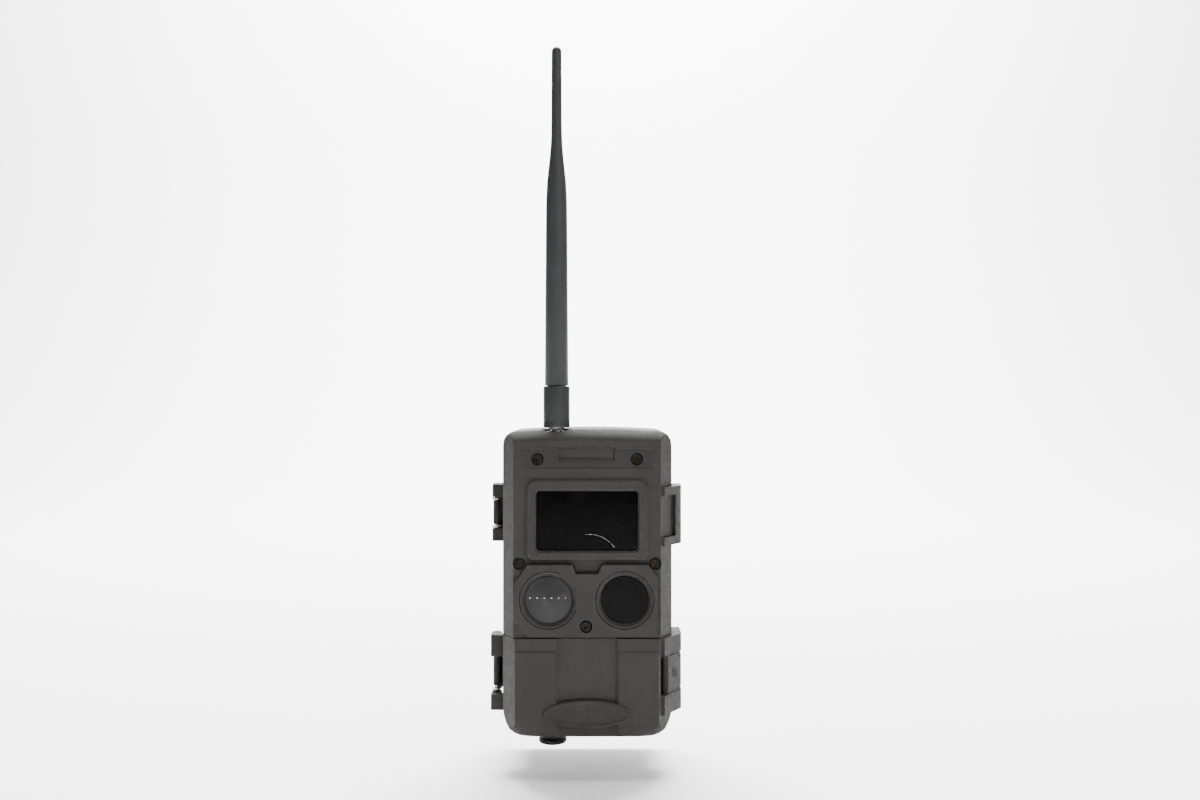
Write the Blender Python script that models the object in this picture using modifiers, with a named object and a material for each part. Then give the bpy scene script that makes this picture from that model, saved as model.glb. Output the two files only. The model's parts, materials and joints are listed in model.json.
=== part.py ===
"""Trail camera: a weatherproof scouting camera that is strapped to a tree.

Metres, +Z up. The front faces -Y, and the flat back (the plane Y = 0) rests against the tree.
Inside this script heights are measured from the bottom of the case. Everything hangs on one
empty, which lowers the case so that the world origin is the centre of the back's flat pad.
"""
import math

import bmesh
import bpy
from mathutils import Matrix, Vector

# ---------------------------------------------------------------- driving dimensions
CASE_WIDTH = 0.0840
CASE_HEIGHT = 0.1512
CASE_DEPTH = 0.0600
PAD_HEIGHT = 0.0760          # the centre of the back's flat pad, above the case's bottom
SPLIT_Y = -0.0380            # where the rear housing meets the front housing and the door
SEAM_HEIGHT = 0.0488         # the level seam between the front housing and the door
WALL = 0.0025
GAP = 0.0003                 # clearance between two pieces that touch
TOP_RADIUS = 0.0070
BOTTOM_RADIUS = 0.0120
CROWN = 0.0011               # how far the top edge bows up between its corners
RIM_PROFILE = 0.36           # below 0.5 the rounding is flatter in the middle, with creases
FRONT_ROUND = 0.0055         # rounding from the front face into the sides

HALF_WIDTH = CASE_WIDTH / 2
FRONT_Y = -CASE_DEPTH
FACE_Y = FRONT_Y + 0.0015    # the front housing's plain face, behind its raised parts
SKIN_Y = FACE_Y + 0.0030     # the inside of the front housing's face
DOOR_SKIN_Y = FRONT_Y + 0.0035
SHELF_LOW = SEAM_HEIGHT - 0.0004
SHELF_HIGH = SHELF_LOW + WALL
UPPER_BACK_Y = -0.0095       # the back wall inside the upper bay
LOWER_BACK_Y = -0.0030       # the back wall inside the battery bay

# strap channel across the back
CHANNEL_LOW = 0.0930
CHANNEL_HIGH = 0.1210
CHANNEL_DEPTH = 0.0072
BRIDGE_INNER_X = 0.0240
BRIDGE_OUTER_X = 0.0320
BRIDGE_THICKNESS = 0.0025

# side lugs and their pins
LUG_X = 0.0485               # how far the lugs reach out from the middle
PIN_X = 0.0464
PIN_Y = -0.0340
PIN_RADIUS = 0.0011
KNUCKLE_RADIUS = 0.0024
BARREL_RADIUS = 0.0018
LOWER_LUG = (0.0092, 0.0170)
MIDDLE_BARREL = (0.0199, 0.0346)
UPPER_LUG = (0.0362, 0.0470)
TOP_LUG_LOW = (0.0937, 0.1000)
TOP_LUG_HIGH = (0.1160, 0.1225)
ROLLER = (0.1021, 0.1143)

# latch on the door's right side
LATCH_PIN_X = 0.0388
LATCH_PIN_Y = -0.0530
LATCH_PIN_RADIUS = 0.0009
LATCH_BARREL_RADIUS = 0.0018
LATCH_ROOM_RADIUS = 0.0028     # the room its front edge sweeps as it lifts
LATCH_LOW = 0.0209
LATCH_HIGH = 0.0391
LATCH_MIDDLE = (LATCH_LOW + LATCH_HIGH) / 2

# oval badge on the door
BADGE_HALF_WIDTH = 0.0215
BADGE_HALF_HEIGHT = 0.0065
BADGE_HEIGHT = 0.0122
BADGE_FLOOR_Y = FRONT_Y + 0.0018

# the shells' hollow is narrower close to the face, so that the walls stay thick behind the rounding
BAY_STEP_Y = -0.0535
BAY_FACE_INSET = 0.0045
SLOPE_WALL = 0.0029

# the band across the top of the face and the pocket in its middle: corners at the mouth and at the floor
BAND_MOUTH = (-0.0350, 0.0350, FACE_Y - 0.0002, 0.1316, 0.1416)
BAND_FLOOR_BOTTOM = (-0.0300, 0.0300, FACE_Y + 0.0005, 0.1322)
BAND_FLOOR_TOP = (-0.0300, 0.0300, FACE_Y + 0.0012, 0.1411)
POCKET_MOUTH = (-0.0148, 0.0143, FACE_Y - 0.0006, 0.1322, 0.1426)
POCKET_FLOOR_BOTTOM = (-0.0134, 0.0129, FACE_Y + 0.0021, 0.1372)
POCKET_FLOOR_TOP = (-0.0138, 0.0133, FACE_Y + 0.0021, 0.1420)
# floor of the notch in the optics plate's top edge
NOTCH_OUTLINE = [(-0.0069, 0.0871), (0.0069, 0.0871), (0.0069, 0.0853), (0.0050, 0.0810), (-0.0050, 0.0810),
                 (-0.0069, 0.0853)]

# the door's centre channel seen from above, and the set-back strip under the seam seen from the side
CHANNEL_SECTION = [(-0.0163, FRONT_Y - 0.0008), (0.0163, FRONT_Y - 0.0008), (0.0138, FRONT_Y + 0.0016),
                   (-0.0138, FRONT_Y + 0.0016)]
LIP_SECTION = [(FRONT_Y - 0.0010, 0.0405), (FRONT_Y + 0.0005, 0.0428), (FRONT_Y + 0.0005, 0.0600),
               (FRONT_Y - 0.0010, 0.0600)]

# the right side lugs and the loop seen from above: how far out they reach, their outer edge from the front
# to the back, and the loop's outer bar
RIGHT_REACH = 0.0472
RAMP_EDGE = [(0.0360, -0.0575), (0.0381, -0.0582), (0.0407, -0.0539), (0.0422, -0.0513), (0.0448, -0.0475),
             (0.0466, -0.0447), (RIGHT_REACH, -0.0430), (RIGHT_REACH, -0.0290)]
LOOP_BAR_OUTLINE = [(0.0440, -0.0486), (0.0448, -0.0475), (0.0466, -0.0447), (RIGHT_REACH, -0.0430),
                    (RIGHT_REACH, -0.0290), (0.0440, -0.0290)]
# the floor of the recess inside the loop: its depth and how far out it reaches
LOOP_FLOOR_Y = -0.0464
LOOP_FLOOR_REACH = 0.0446
# the right side lugs that hold the latch's pin, as (lower end, upper end)
LATCH_LUGS = ((0.0108, 0.0204), (0.0396, 0.0484))

# the front edges slope back over this width and depth down both sides
SLOPE_START_X = 0.0352
SLOPE_PER_DEPTH = 0.0068 / 0.0115

# screws, as (x, height)
SCREW_PLACES = ((-0.0244, 0.1364), (0.0244, 0.1364), (-0.0333, 0.0853), (0.0333, 0.0853))
PLATE_SCREW = (-0.0005, 0.0548)
SCREW_RADIUS = 0.0024
SCREW_POCKET_RADIUS = 0.0031
SCREW_POCKET_DEPTH = 0.0024
SHANK_RADIUS = 0.0011
SHANK_END_Y = SKIN_Y + 0.0015

# antenna
SPIGOT_RADIUS = 0.0048        # the whip's foot inside the collar
ANTENNA_X = -0.0153
ANTENNA_Y = -0.0480
ANTENNA_FOOT = 0.1519
ANTENNA_TIP = 0.3415

# optics
PIR_X = -0.0189
LENS_X = 0.0184
OPTICS_HEIGHT = 0.0676
PLATE_LOW = 0.0495
PLATE_HIGH = 0.0851
PORT_RADIUS = 0.0143
PIR_FLAT = 0.0134             # distance to the flats at the right of the motion sensor's port
LENS_RADIUS = 0.0117
PLATE_FLOOR_Y = FACE_Y + 0.0014
GLASS_SEAT_Y = FACE_Y + 0.0023

# flash window
WINDOW_HALF = 0.0250
WINDOW_LOW = 0.0915
WINDOW_HIGH = 0.1209
WINDOW_LIP_Y = FACE_Y + 0.0012

# power socket under the case
SOCKET_X = -0.0180
SOCKET_Y = -0.0290
SOCKET_DROP = 0.0080

# battery bay
CELL_RADIUS = 0.0071
CELL_LENGTH = 0.0500
TRAY_LEFT = -0.0378
TRAY_RIGHT = 0.0186
TRAY_LOW = 0.0034
TRAY_HIGH = 0.0358
TRAY_BACK = -0.0034
TRAY_FRONT = -0.0366
TRAY_WALL = 0.0012
PANEL_FRONT = -0.0376
PANEL_BACK = -0.0358
PANEL_X = 0.0280             # the middle of the control panel's column
BUTTON_HEIGHT = 0.0222
BUTTON_SPREAD = 0.0042
BUTTON_RADIUS = 0.0018

# finishes: colour, roughness, metallic
CASE_PLASTIC = ((0.075, 0.075, 0.073), 0.62, 0.0)
SATIN_PLASTIC = ((0.085, 0.087, 0.088), 0.45, 0.0)
BLACK_PLASTIC = ((0.015, 0.015, 0.015), 0.50, 0.0)
BLACK_GLASS = ((0.004, 0.004, 0.004), 0.06, 0.0)
FRESNEL_PLASTIC = ((0.060, 0.060, 0.062), 0.38, 0.0)
RUBBER = ((0.012, 0.012, 0.012), 0.80, 0.0)
STEEL = ((0.55, 0.55, 0.56), 0.30, 1.0)
DARK_BRASS = ((0.19, 0.14, 0.08), 0.38, 1.0)
GOLD = ((0.80, 0.60, 0.25), 0.28, 1.0)
CIRCUIT_BOARD = ((0.010, 0.090, 0.035), 0.45, 0.0)
CELL_SLEEVE = ((0.020, 0.020, 0.022), 0.30, 0.0)
LABEL_WHITE = ((0.70, 0.70, 0.68), 0.50, 0.0)

parts = None
cutters = None
case_frame = None


# ---------------------------------------------------------------- scene and helpers
def start_scene():
    global parts, cutters, case_frame
    for old in list(bpy.data.objects):
        bpy.data.objects.remove(old, do_unlink=True)
    parts = bpy.data.collections.new("trail_camera")
    cutters = bpy.data.collections.new("trail_camera_cutters")
    bpy.context.scene.collection.children.link(parts)
    bpy.context.scene.collection.children.link(cutters)
    case_frame = empty("case_frame", (0, 0, 0))
    case_frame.location = (0, 0, -PAD_HEIGHT)


def empty(name, place, parent=None):
    """An empty at a place in the case's coordinates."""
    obj = bpy.data.objects.new(name, None)
    obj.location = place
    obj.parent = parent
    obj.empty_display_size = 0.01
    parts.objects.link(obj)
    return obj


def place(obj, origin, parent=None):
    """Put the origin at a point of the case, leave the mesh where it is, and parent the object."""
    origin = Vector(origin)
    obj.data.transform(Matrix.Translation(-origin))
    if parent is None:
        obj.parent = case_frame
        obj.location = origin
    else:
        obj.parent = parent
        obj.location = origin - parent.location
    return obj


def finish(obj, look):
    """Give a part its own material and round shading."""
    colour, roughness, metallic = look
    material = bpy.data.materials.new(obj.name + "_finish")
    material.use_nodes = True
    shader = material.node_tree.nodes["Principled BSDF"]
    shader.inputs["Base Color"].default_value = (*colour, 1.0)
    shader.inputs["Roughness"].default_value = roughness
    shader.inputs["Metallic"].default_value = metallic
    obj.data.materials.append(material)
    obj.data.shade_smooth()
    obj.data.set_sharp_from_angle(angle=math.radians(35))
    return obj


def as_part(obj, look, origin, parent=None):
    """Make a shape one of the camera's parts."""
    parts.objects.link(obj)
    place(obj, origin, parent)
    return finish(obj, look)


def mesh_object(name, bm):
    mesh = bpy.data.meshes.new(name)
    bm.to_mesh(mesh)
    bm.free()
    return bpy.data.objects.new(name, mesh)


def block(name, low, high, round_axis=None, radius=0.0, segments=3, keep=None):
    """A box between two corners. Its edges along round_axis that keep() accepts are rounded."""
    low = Vector(low)
    high = Vector(high)
    bm = bmesh.new()
    bmesh.ops.create_cube(bm, size=1.0)
    bmesh.ops.scale(bm, vec=high - low, verts=bm.verts)
    bmesh.ops.translate(bm, vec=(high + low) / 2, verts=bm.verts)
    if round_axis is not None:
        edges = []
        for edge in bm.edges:
            run = edge.verts[1].co - edge.verts[0].co
            middle = (edge.verts[1].co + edge.verts[0].co) / 2
            if abs(run.normalized()[round_axis]) > 0.99 and (keep is None or keep(middle)):
                edges.append(edge)
        bmesh.ops.bevel(bm, geom=edges, offset=radius, segments=segments, profile=0.5, affect='EDGES')
    return mesh_object(name, bm)


def dished(name, mouth, floor_bottom, floor_top):
    """A recess with sloped walls: left, right, Y and heights of its mouth, and of its floor's two edges."""
    left, right, mouth_y, low, high = mouth
    corners = [(x, mouth_y, height) for x in (left, right) for height in (low, high)]
    for left, right, floor_y, height in (floor_bottom, floor_top):
        corners += [(left, floor_y, height), (right, floor_y, height)]
    bm = bmesh.new()
    for corner in corners:
        bm.verts.new(corner)
    bmesh.ops.convex_hull(bm, input=bm.verts)
    return mesh_object(name, bm)


def rod(name, start, end, radius, segments=24, end_radius=None):
    """A round rod or cone from start to end."""
    start = Vector(start)
    end = Vector(end)
    run = end - start
    bm = bmesh.new()
    bmesh.ops.create_cone(bm, cap_ends=True, segments=segments, radius1=radius,
                          radius2=radius if end_radius is None else end_radius, depth=run.length)
    turn = run.to_track_quat('Z', 'Y').to_matrix().to_4x4()
    bmesh.ops.transform(bm, matrix=Matrix.Translation((start + end) / 2) @ turn, verts=bm.verts)
    return mesh_object(name, bm)


def turned(name, profile, centre, along='Z', segments=32):
    """A solid of revolution. The profile is (radius, distance) pairs from the top down,
    and starts and ends on the axis unless it closes on itself."""
    bm = bmesh.new()
    verts = [bm.verts.new((radius, 0, distance)) for radius, distance in profile]
    for one, two in zip(verts, verts[1:]):
        bm.edges.new((one, two))
    if profile[0][0] > 0:
        bm.edges.new((verts[-1], verts[0]))
    obj = mesh_object(name, bm)
    if along == 'Y':
        obj.data.transform(Matrix.Rotation(math.radians(-90), 4, 'X'))
    obj.data.transform(Matrix.Translation(Vector(centre)))
    screw = obj.modifiers.new("turn", 'SCREW')
    screw.axis = along
    screw.steps = segments
    screw.render_steps = segments
    screw.use_merge_vertices = True
    screw.merge_threshold = 0.00001
    screw.use_smooth_shade = True
    return settle(obj, centre)


def settle(obj, centre=(0, 0, 0)):
    """Run a shape's curve or modifiers once, about a centre, and keep the result as its mesh."""
    centre = Vector(centre)
    obj.data.transform(Matrix.Translation(-centre))
    bpy.context.scene.collection.objects.link(obj)
    bpy.context.view_layer.update()
    shape = obj.evaluated_get(bpy.context.evaluated_depsgraph_get())
    mesh = bpy.data.meshes.new_from_object(shape)
    mesh.transform(Matrix.Translation(centre))
    name = obj.name
    bpy.data.objects.remove(obj, do_unlink=True)
    bm = bmesh.new()
    bm.from_mesh(mesh)
    bmesh.ops.remove_doubles(bm, verts=bm.verts, dist=0.00001)
    bmesh.ops.dissolve_limit(bm, angle_limit=math.radians(0.1), verts=bm.verts, edges=bm.edges)
    bmesh.ops.recalc_face_normals(bm, faces=bm.faces)
    bm.to_mesh(mesh)
    bm.free()
    return bpy.data.objects.new(name, mesh)


def outline_solid(name, points, low, high, plane='XZ'):
    """A flat outline made solid between two levels across its plane.

    plane XZ: points are (x, height) and the levels are Y; plane XY: points are (x, y) and the
    levels are heights; plane YZ: points are (y, height) and the levels are X.
    """
    curve = bpy.data.curves.new(name, 'CURVE')
    curve.dimensions = '2D'
    curve.fill_mode = 'BOTH'
    curve.extrude = abs(high - low) / 2
    spline = curve.splines.new('POLY')
    spline.points.add(len(points) - 1)
    for point, (across, up) in zip(spline.points, points):
        point.co = (across, up, 0, 1)
    spline.use_cyclic_u = True
    obj = settle(bpy.data.objects.new(name, curve))
    if plane == 'XZ':
        obj.data.transform(Matrix.Rotation(math.radians(90), 4, 'X'))
        obj.data.transform(Matrix.Translation((0, (low + high) / 2, 0)))
    elif plane == 'XY':
        obj.data.transform(Matrix.Translation((0, 0, (low + high) / 2)))
    else:
        turn = Matrix(((0, 0, 1), (1, 0, 0), (0, 1, 0))).to_4x4()
        obj.data.transform(Matrix.Translation(((low + high) / 2, 0, 0)) @ turn)
    return obj


def combine(obj, tool, operation):
    """Cut a tool out of a shape, or fuse it on; the tool goes with the cutters."""
    if tool.name not in cutters.objects:
        cutters.objects.link(tool)
        tool.parent = case_frame
        tool.hide_render = True
        tool.display_type = 'WIRE'
    boolean = obj.modifiers.new(operation.lower(), 'BOOLEAN')
    boolean.operation = operation
    boolean.solver = 'EXACT'
    boolean.object = tool


def cut(obj, *tools):
    for tool in tools:
        combine(obj, tool, 'DIFFERENCE')


def fuse(obj, *tools):
    for tool in tools:
        combine(obj, tool, 'UNION')


def arc(centre, radius, start, end, steps):
    """Points on an arc, angles in degrees."""
    points = []
    for step in range(steps + 1):
        angle = math.radians(start + (end - start) * step / steps)
        points.append((centre[0] + radius * math.cos(angle), centre[1] + radius * math.sin(angle)))
    return points


def case_outline(inset, low=None, high=None):
    """The case's front outline, anticlockwise. A low or high level cuts it off square."""
    half = HALF_WIDTH - inset
    points = []
    if low is None:
        radius = BOTTOM_RADIUS - inset
        points += arc((-half + radius, inset + radius), radius, 180, 270, 6)
        points += arc((half - radius, inset + radius), radius, 270, 360, 6)
    else:
        points += [(-half, low), (half, low)]
    if high is None:
        radius = TOP_RADIUS - inset
        shoulder = CASE_HEIGHT - CROWN - inset
        points += arc((half - radius, shoulder - radius), radius, 0, 90, 4)
        span = half - radius
        for step in range(1, 6):
            across = span * (1 - 2 * step / 6)
            points.append((across, shoulder + CROWN * (1 - (across / span) ** 2)))
        points += arc((-half + radius, shoulder - radius), radius, 90, 180, 4)
    else:
        points += [(half, high), (-half, high)]
    return points


def round_rim(obj, level, radius, segments, keep):
    """Round the edges that lie in the plane Y = level, where keep(middle) gives a share of the radius."""
    bm = bmesh.new()
    bm.from_mesh(obj.data)
    weight = bm.edges.layers.float.new("bevel_weight_edge")
    for edge in bm.edges:
        one, two = (vert.co for vert in edge.verts)
        sharp = len(edge.link_faces) == 2 and edge.calc_face_angle() > 0.5
        if sharp and abs(one.y - level) < 1e-6 and abs(two.y - level) < 1e-6:
            edge[weight] = keep((one + two) / 2)
    bm.to_mesh(obj.data)
    bm.free()
    bevel = obj.modifiers.new("rim", 'BEVEL')
    bevel.width = radius
    bevel.segments = segments
    bevel.limit_method = 'WEIGHT'
    bevel.profile = RIM_PROFILE
    bevel.use_clamp_overlap = False
    return settle(obj)


# ---------------------------------------------------------------- rear housing
def pin_hole(name, x, y, low, high, radius):
    return rod(name, (x, y, low), (x, y, high), radius, 16)


def make_rear_housing():
    body = outline_solid("rear_housing", case_outline(0), SPLIT_Y, 0)
    body = round_rim(body, 0.0, 0.0030, 2, lambda middle: 1.0)
    cut(body,
        outline_solid("rear_upper_bay", case_outline(WALL, low=SHELF_HIGH), SPLIT_Y - 0.01, UPPER_BACK_Y),
        outline_solid("rear_battery_bay", case_outline(WALL, high=SHELF_LOW), SPLIT_Y - 0.01, LOWER_BACK_Y),
        block("strap_channel", (-HALF_WIDTH - 0.001, -CHANNEL_DEPTH, CHANNEL_LOW),
              (HALF_WIDTH + 0.001, 0.001, CHANNEL_HIGH)),
        rod("tripod_bore", (0, 0.001, 0.0640), (0, -0.0075, 0.0640), 0.0048, 24))
    for side in (-1, 1):
        inner = side * BRIDGE_INNER_X
        outer = side * BRIDGE_OUTER_X
        fuse(body, block("strap_bridge", (min(inner, outer), -BRIDGE_THICKNESS, CHANNEL_LOW - 0.001),
                         (max(inner, outer), 0.0, CHANNEL_HIGH + 0.001)))
    # hinge barrel between the door's knuckles, on a web set well back
    low, high = MIDDLE_BARREL
    fuse(body,
         rod("hinge_barrel", (-PIN_X, PIN_Y, low), (-PIN_X, PIN_Y, high), BARREL_RADIUS, 16),
         block("hinge_arm", (-PIN_X - 0.0012, PIN_Y + 0.0012, low), (-PIN_X + 0.0012, PIN_Y + 0.0080, high)),
         block("hinge_web", (-PIN_X - 0.0012, PIN_Y + 0.0060, LOWER_LUG[1] + GAP),
               (-HALF_WIDTH + 0.001, PIN_Y + 0.0090, UPPER_LUG[0] - GAP)))
    # upper lugs on the left that carry the roller's pin, joined by a back web
    for index, (low, high) in enumerate((TOP_LUG_LOW, TOP_LUG_HIGH)):
        fuse(body, block(f"roller_lug_{index}", (-LUG_X, PIN_Y - 0.0030, low),
                         (-HALF_WIDTH + 0.001, PIN_Y + 0.0090, high), 2, 0.0012, 2,
                         lambda middle: middle.x < -0.045))
    fuse(body, block("roller_web", (-PIN_X - 0.0010, PIN_Y + 0.0058, TOP_LUG_LOW[0] + 0.001),
                     (-HALF_WIDTH + 0.001, PIN_Y + 0.0089, TOP_LUG_HIGH[1] - 0.001)))
    # keeper bump that the latch rests behind
    fuse(body, block("latch_keeper", (HALF_WIDTH - 0.001, -0.0352, LATCH_LOW + 0.003),
                     (HALF_WIDTH + 0.0010, -0.0328, LATCH_HIGH - 0.003)))
    # collar of the power socket
    fuse(body, rod("socket_collar", (SOCKET_X, SOCKET_Y, 0.0010), (SOCKET_X, SOCKET_Y, -SOCKET_DROP),
                   0.0058, 28,
                   0.0052))
    cut(body,
        rod("socket_bore", (SOCKET_X, SOCKET_Y, 0.0040), (SOCKET_X, SOCKET_Y, -SOCKET_DROP - 0.001), 0.0040,
            24),
        pin_hole("hinge_pin_hole", -PIN_X, PIN_Y, 0.0190, 0.0360, PIN_RADIUS + 0.0002),
        pin_hole("roller_pin_hole", -PIN_X, PIN_Y, TOP_LUG_LOW[0] + 0.0012, TOP_LUG_HIGH[1] - 0.0012,
                 PIN_RADIUS + 0.0002))
    return as_part(body, CASE_PLASTIC, (0, SPLIT_Y / 2, CASE_HEIGHT / 2))


# ---------------------------------------------------------------- front housing
def ramp_outline():
    """The right side lugs seen from above: a ramp from the front corner out to the side."""
    return RAMP_EDGE + [(HALF_WIDTH + 0.0004, -0.0290), (HALF_WIDTH + 0.0004, SPLIT_Y - 0.0006),
                        (0.0392, SPLIT_Y - 0.0006), (0.0360, -0.0500)]


def side_slopes(inset=0.0):
    """What the sloped front edges leave out, at the left and the right, moved in by inset."""
    front, back = FRONT_Y - 0.0010, -0.0470
    start = SLOPE_START_X - inset
    ends = [start + (y - FRONT_Y) * SLOPE_PER_DEPTH for y in (front, back)]
    slopes = []
    for side, name in ((-1, "left_slope"), (1, "right_slope")):
        points = [(side * ends[0], front), (side * ends[1], back), (side * 0.0500, back),
                  (side * 0.0500, front)]
        slopes.append(outline_solid(name, points, -0.01, CASE_HEIGHT + 0.01, 'XY'))
    return slopes


def plate_outline(inset=0.0):
    """The optics plate's outline with its cut corners and the notch in its top edge."""
    left = -0.0359 + inset
    right = 0.0349 - inset
    low = PLATE_LOW + inset
    high = PLATE_HIGH - inset
    return [(-0.0289, low), (0.0335, low), (right, low + 0.0014), (right, 0.0788), (0.0297, high),
            (0.0072 + inset, high), (0.0054 + inset, 0.0806 - inset), (-0.0054 - inset, 0.0806 - inset),
            (-0.0072 - inset, high), (-0.0292, high), (left, 0.0760), (left, 0.0574)]


def make_front_housing():
    body = outline_solid("front_housing", case_outline(0, low=SEAM_HEIGHT + GAP / 2), FACE_Y, SPLIT_Y - GAP)
    body = round_rim(body, FACE_Y, FRONT_ROUND, 5,
                     lambda middle: 0.0 if middle.z < SEAM_HEIGHT + 0.001 else 1.0)
    cut(body, *side_slopes())
    ramp = ramp_outline()
    for index, (low, high) in enumerate(((0.0937, 0.0978), (0.1183, 0.1225))):
        fuse(body, outline_solid(f"loop_rib_{index}", ramp, low, high, 'XY'))
    fuse(body,
         block("loop_back", (HALF_WIDTH - 0.002, -0.0452, TOP_LUG_LOW[0] + 0.001),
               (HALF_WIDTH + 0.0008, SPLIT_Y - GAP, TOP_LUG_HIGH[1] - 0.001)),
         block("loop_floor", (HALF_WIDTH + 0.0004, LOOP_FLOOR_Y, TOP_LUG_LOW[0] + 0.001),
               (LOOP_FLOOR_REACH, -0.0425, TOP_LUG_HIGH[1] - 0.001)),
         block("loop_web", (HALF_WIDTH + 0.0004, -0.0432, TOP_LUG_LOW[0] + 0.001),
               (RIGHT_REACH - 0.0015, -0.0292, TOP_LUG_HIGH[1] - 0.001)),
         outline_solid("loop_bar", LOOP_BAR_OUTLINE, TOP_LUG_LOW[0] + 0.001, TOP_LUG_HIGH[1] - 0.001, 'XY'))
    bay = outline_solid("front_bay", case_outline(WALL, low=SEAM_HEIGHT + WALL), BAY_STEP_Y, 0.0)
    fuse(bay, outline_solid("front_bay_face", case_outline(BAY_FACE_INSET, low=SEAM_HEIGHT + WALL), SKIN_Y,
                            BAY_STEP_Y + 0.001))
    cut(bay, *side_slopes(SLOPE_WALL))
    cut(body, bay)
    # raised frame round the flash window
    frame = block("window_frame", (-0.0298, FRONT_Y, 0.0873), (0.0298, SKIN_Y - 0.001, 0.1263), 1, 0.0042, 4)
    fuse(body, round_rim(frame, FRONT_Y, 0.0009, 2, lambda middle: 1.0))
    mouth = block("window_mouth", (-WINDOW_HALF - 0.0008, FRONT_Y - 0.002, WINDOW_LOW - 0.0008),
                  (WINDOW_HALF + 0.0008, FRONT_Y + 0.0009, WINDOW_HIGH + 0.0008), 1, 0.0026, 3)
    cut(body, round_rim(mouth, FRONT_Y + 0.0009, 0.0008, 2, lambda middle: 1.0))
    cut(body,
        block("window_opening", (-WINDOW_HALF, -0.07, WINDOW_LOW), (WINDOW_HALF, -0.04, WINDOW_HIGH), 1,
              0.0019, 3),
        block("window_seat", (-WINDOW_HALF - 0.0018, WINDOW_LIP_Y, WINDOW_LOW - 0.0018),
              (WINDOW_HALF + 0.0018, -0.04, WINDOW_HIGH + 0.0018), 1, 0.0019, 3),
        dished("top_band", BAND_MOUTH, BAND_FLOOR_BOTTOM, BAND_FLOOR_TOP),
        dished("band_pocket", POCKET_MOUTH, POCKET_FLOOR_BOTTOM, POCKET_FLOOR_TOP),
        block("frame_groove", (-0.0318, -0.07, 0.0846), (0.0318, FACE_Y + 0.0011, 0.0871)),
        outline_solid("notch_floor", NOTCH_OUTLINE, -0.07, FACE_Y + 0.0011),
        outline_solid("plate_pocket", plate_outline(-GAP), -0.07, PLATE_FLOOR_Y),
        rod("pir_seat", (PIR_X, -0.07, OPTICS_HEIGHT), (PIR_X, GLASS_SEAT_Y, OPTICS_HEIGHT),
            LENS_RADIUS + GAP, 48),
        rod("lens_seat", (LENS_X, -0.07, OPTICS_HEIGHT), (LENS_X, GLASS_SEAT_Y, OPTICS_HEIGHT),
            LENS_RADIUS + GAP,
            48),
        rod("pir_bore", (PIR_X, -0.07, OPTICS_HEIGHT), (PIR_X, -0.04, OPTICS_HEIGHT), 0.0108, 40),
        rod("lens_bore", (LENS_X, -0.07, OPTICS_HEIGHT), (LENS_X, -0.04, OPTICS_HEIGHT), 0.0108, 40),
        rod("antenna_bore", (ANTENNA_X, ANTENNA_Y, 0.14), (ANTENNA_X, ANTENNA_Y, 0.16), 0.0036, 24),
        rod("antenna_spotface", (ANTENNA_X, ANTENNA_Y, CASE_HEIGHT - 0.0014), (ANTENNA_X, ANTENNA_Y, 0.16),
            0.0082, 32))
    for x, height in SCREW_PLACES:
        cut(body, rod("screw_pocket", (x, -0.07, height), (x, FACE_Y + SCREW_POCKET_DEPTH, height),
                      SCREW_POCKET_RADIUS, 24))
    for x, height in SCREW_PLACES + (PLATE_SCREW,):
        cut(body, rod("screw_hole", (x, -0.07, height), (x, SHANK_END_Y, height), SHANK_RADIUS + GAP, 16))
    return as_part(body, CASE_PLASTIC, (0, (SPLIT_Y + FACE_Y) / 2, (SEAM_HEIGHT + CASE_HEIGHT) / 2))


def make_screws():
    for index, (x, height) in enumerate(SCREW_PLACES + (PLATE_SCREW,), start=1):
        seat = FACE_Y + SCREW_POCKET_DEPTH - GAP
        if (x, height) == PLATE_SCREW:
            seat = FRONT_Y + 0.0019 - GAP
        head = rod(f"screw_{index}", (x, seat, height), (x, seat - 0.0013, height), SCREW_RADIUS, 24)
        cut(head, rod("screw_socket", (x, seat - 0.0005, height), (x, seat - 0.0030, height), 0.0012, 6))
        fuse(head, rod("screw_shank", (x, seat - 0.0002, height), (x, SHANK_END_Y, height), SHANK_RADIUS, 16))
        as_part(head, DARK_BRASS, (x, seat, height))


def make_optics_plate():
    plate = outline_solid("optics_plate", plate_outline(), FRONT_Y, PLATE_FLOOR_Y - GAP)
    plate = round_rim(plate, FRONT_Y, 0.0004, 1, lambda middle: 1.0)
    cut(plate,
        outline_solid("pir_port", port_outline(PIR_X, PORT_RADIUS, PIR_FLAT), -0.07, -0.04),
        outline_solid("lens_port", port_outline(LENS_X, PORT_RADIUS, PORT_RADIUS), -0.07, -0.04))
    x, height = PLATE_SCREW
    cut(plate,
        rod("plate_screw_pocket", (x, -0.07, height), (x, FRONT_Y + 0.0019, height), SCREW_POCKET_RADIUS, 24),
        rod("plate_screw_hole", (x, -0.07, height), (x, SHANK_END_Y, height), SHANK_RADIUS + GAP, 16))
    as_part(plate, CASE_PLASTIC, (0, FRONT_Y, OPTICS_HEIGHT))


def port_outline(x, radius, flat):
    """A circle round a port's centre, cut flat at the right and at the upper right."""
    points = []
    for step in range(48):
        angle = 2 * math.pi * step / 48
        reach = radius
        for direction in (0.0, math.pi / 4):
            if math.cos(angle - direction) > 0.5:
                reach = min(reach, flat / math.cos(angle - direction))
        points.append((x + reach * math.cos(angle), OPTICS_HEIGHT + reach * math.sin(angle)))
    return points


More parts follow.
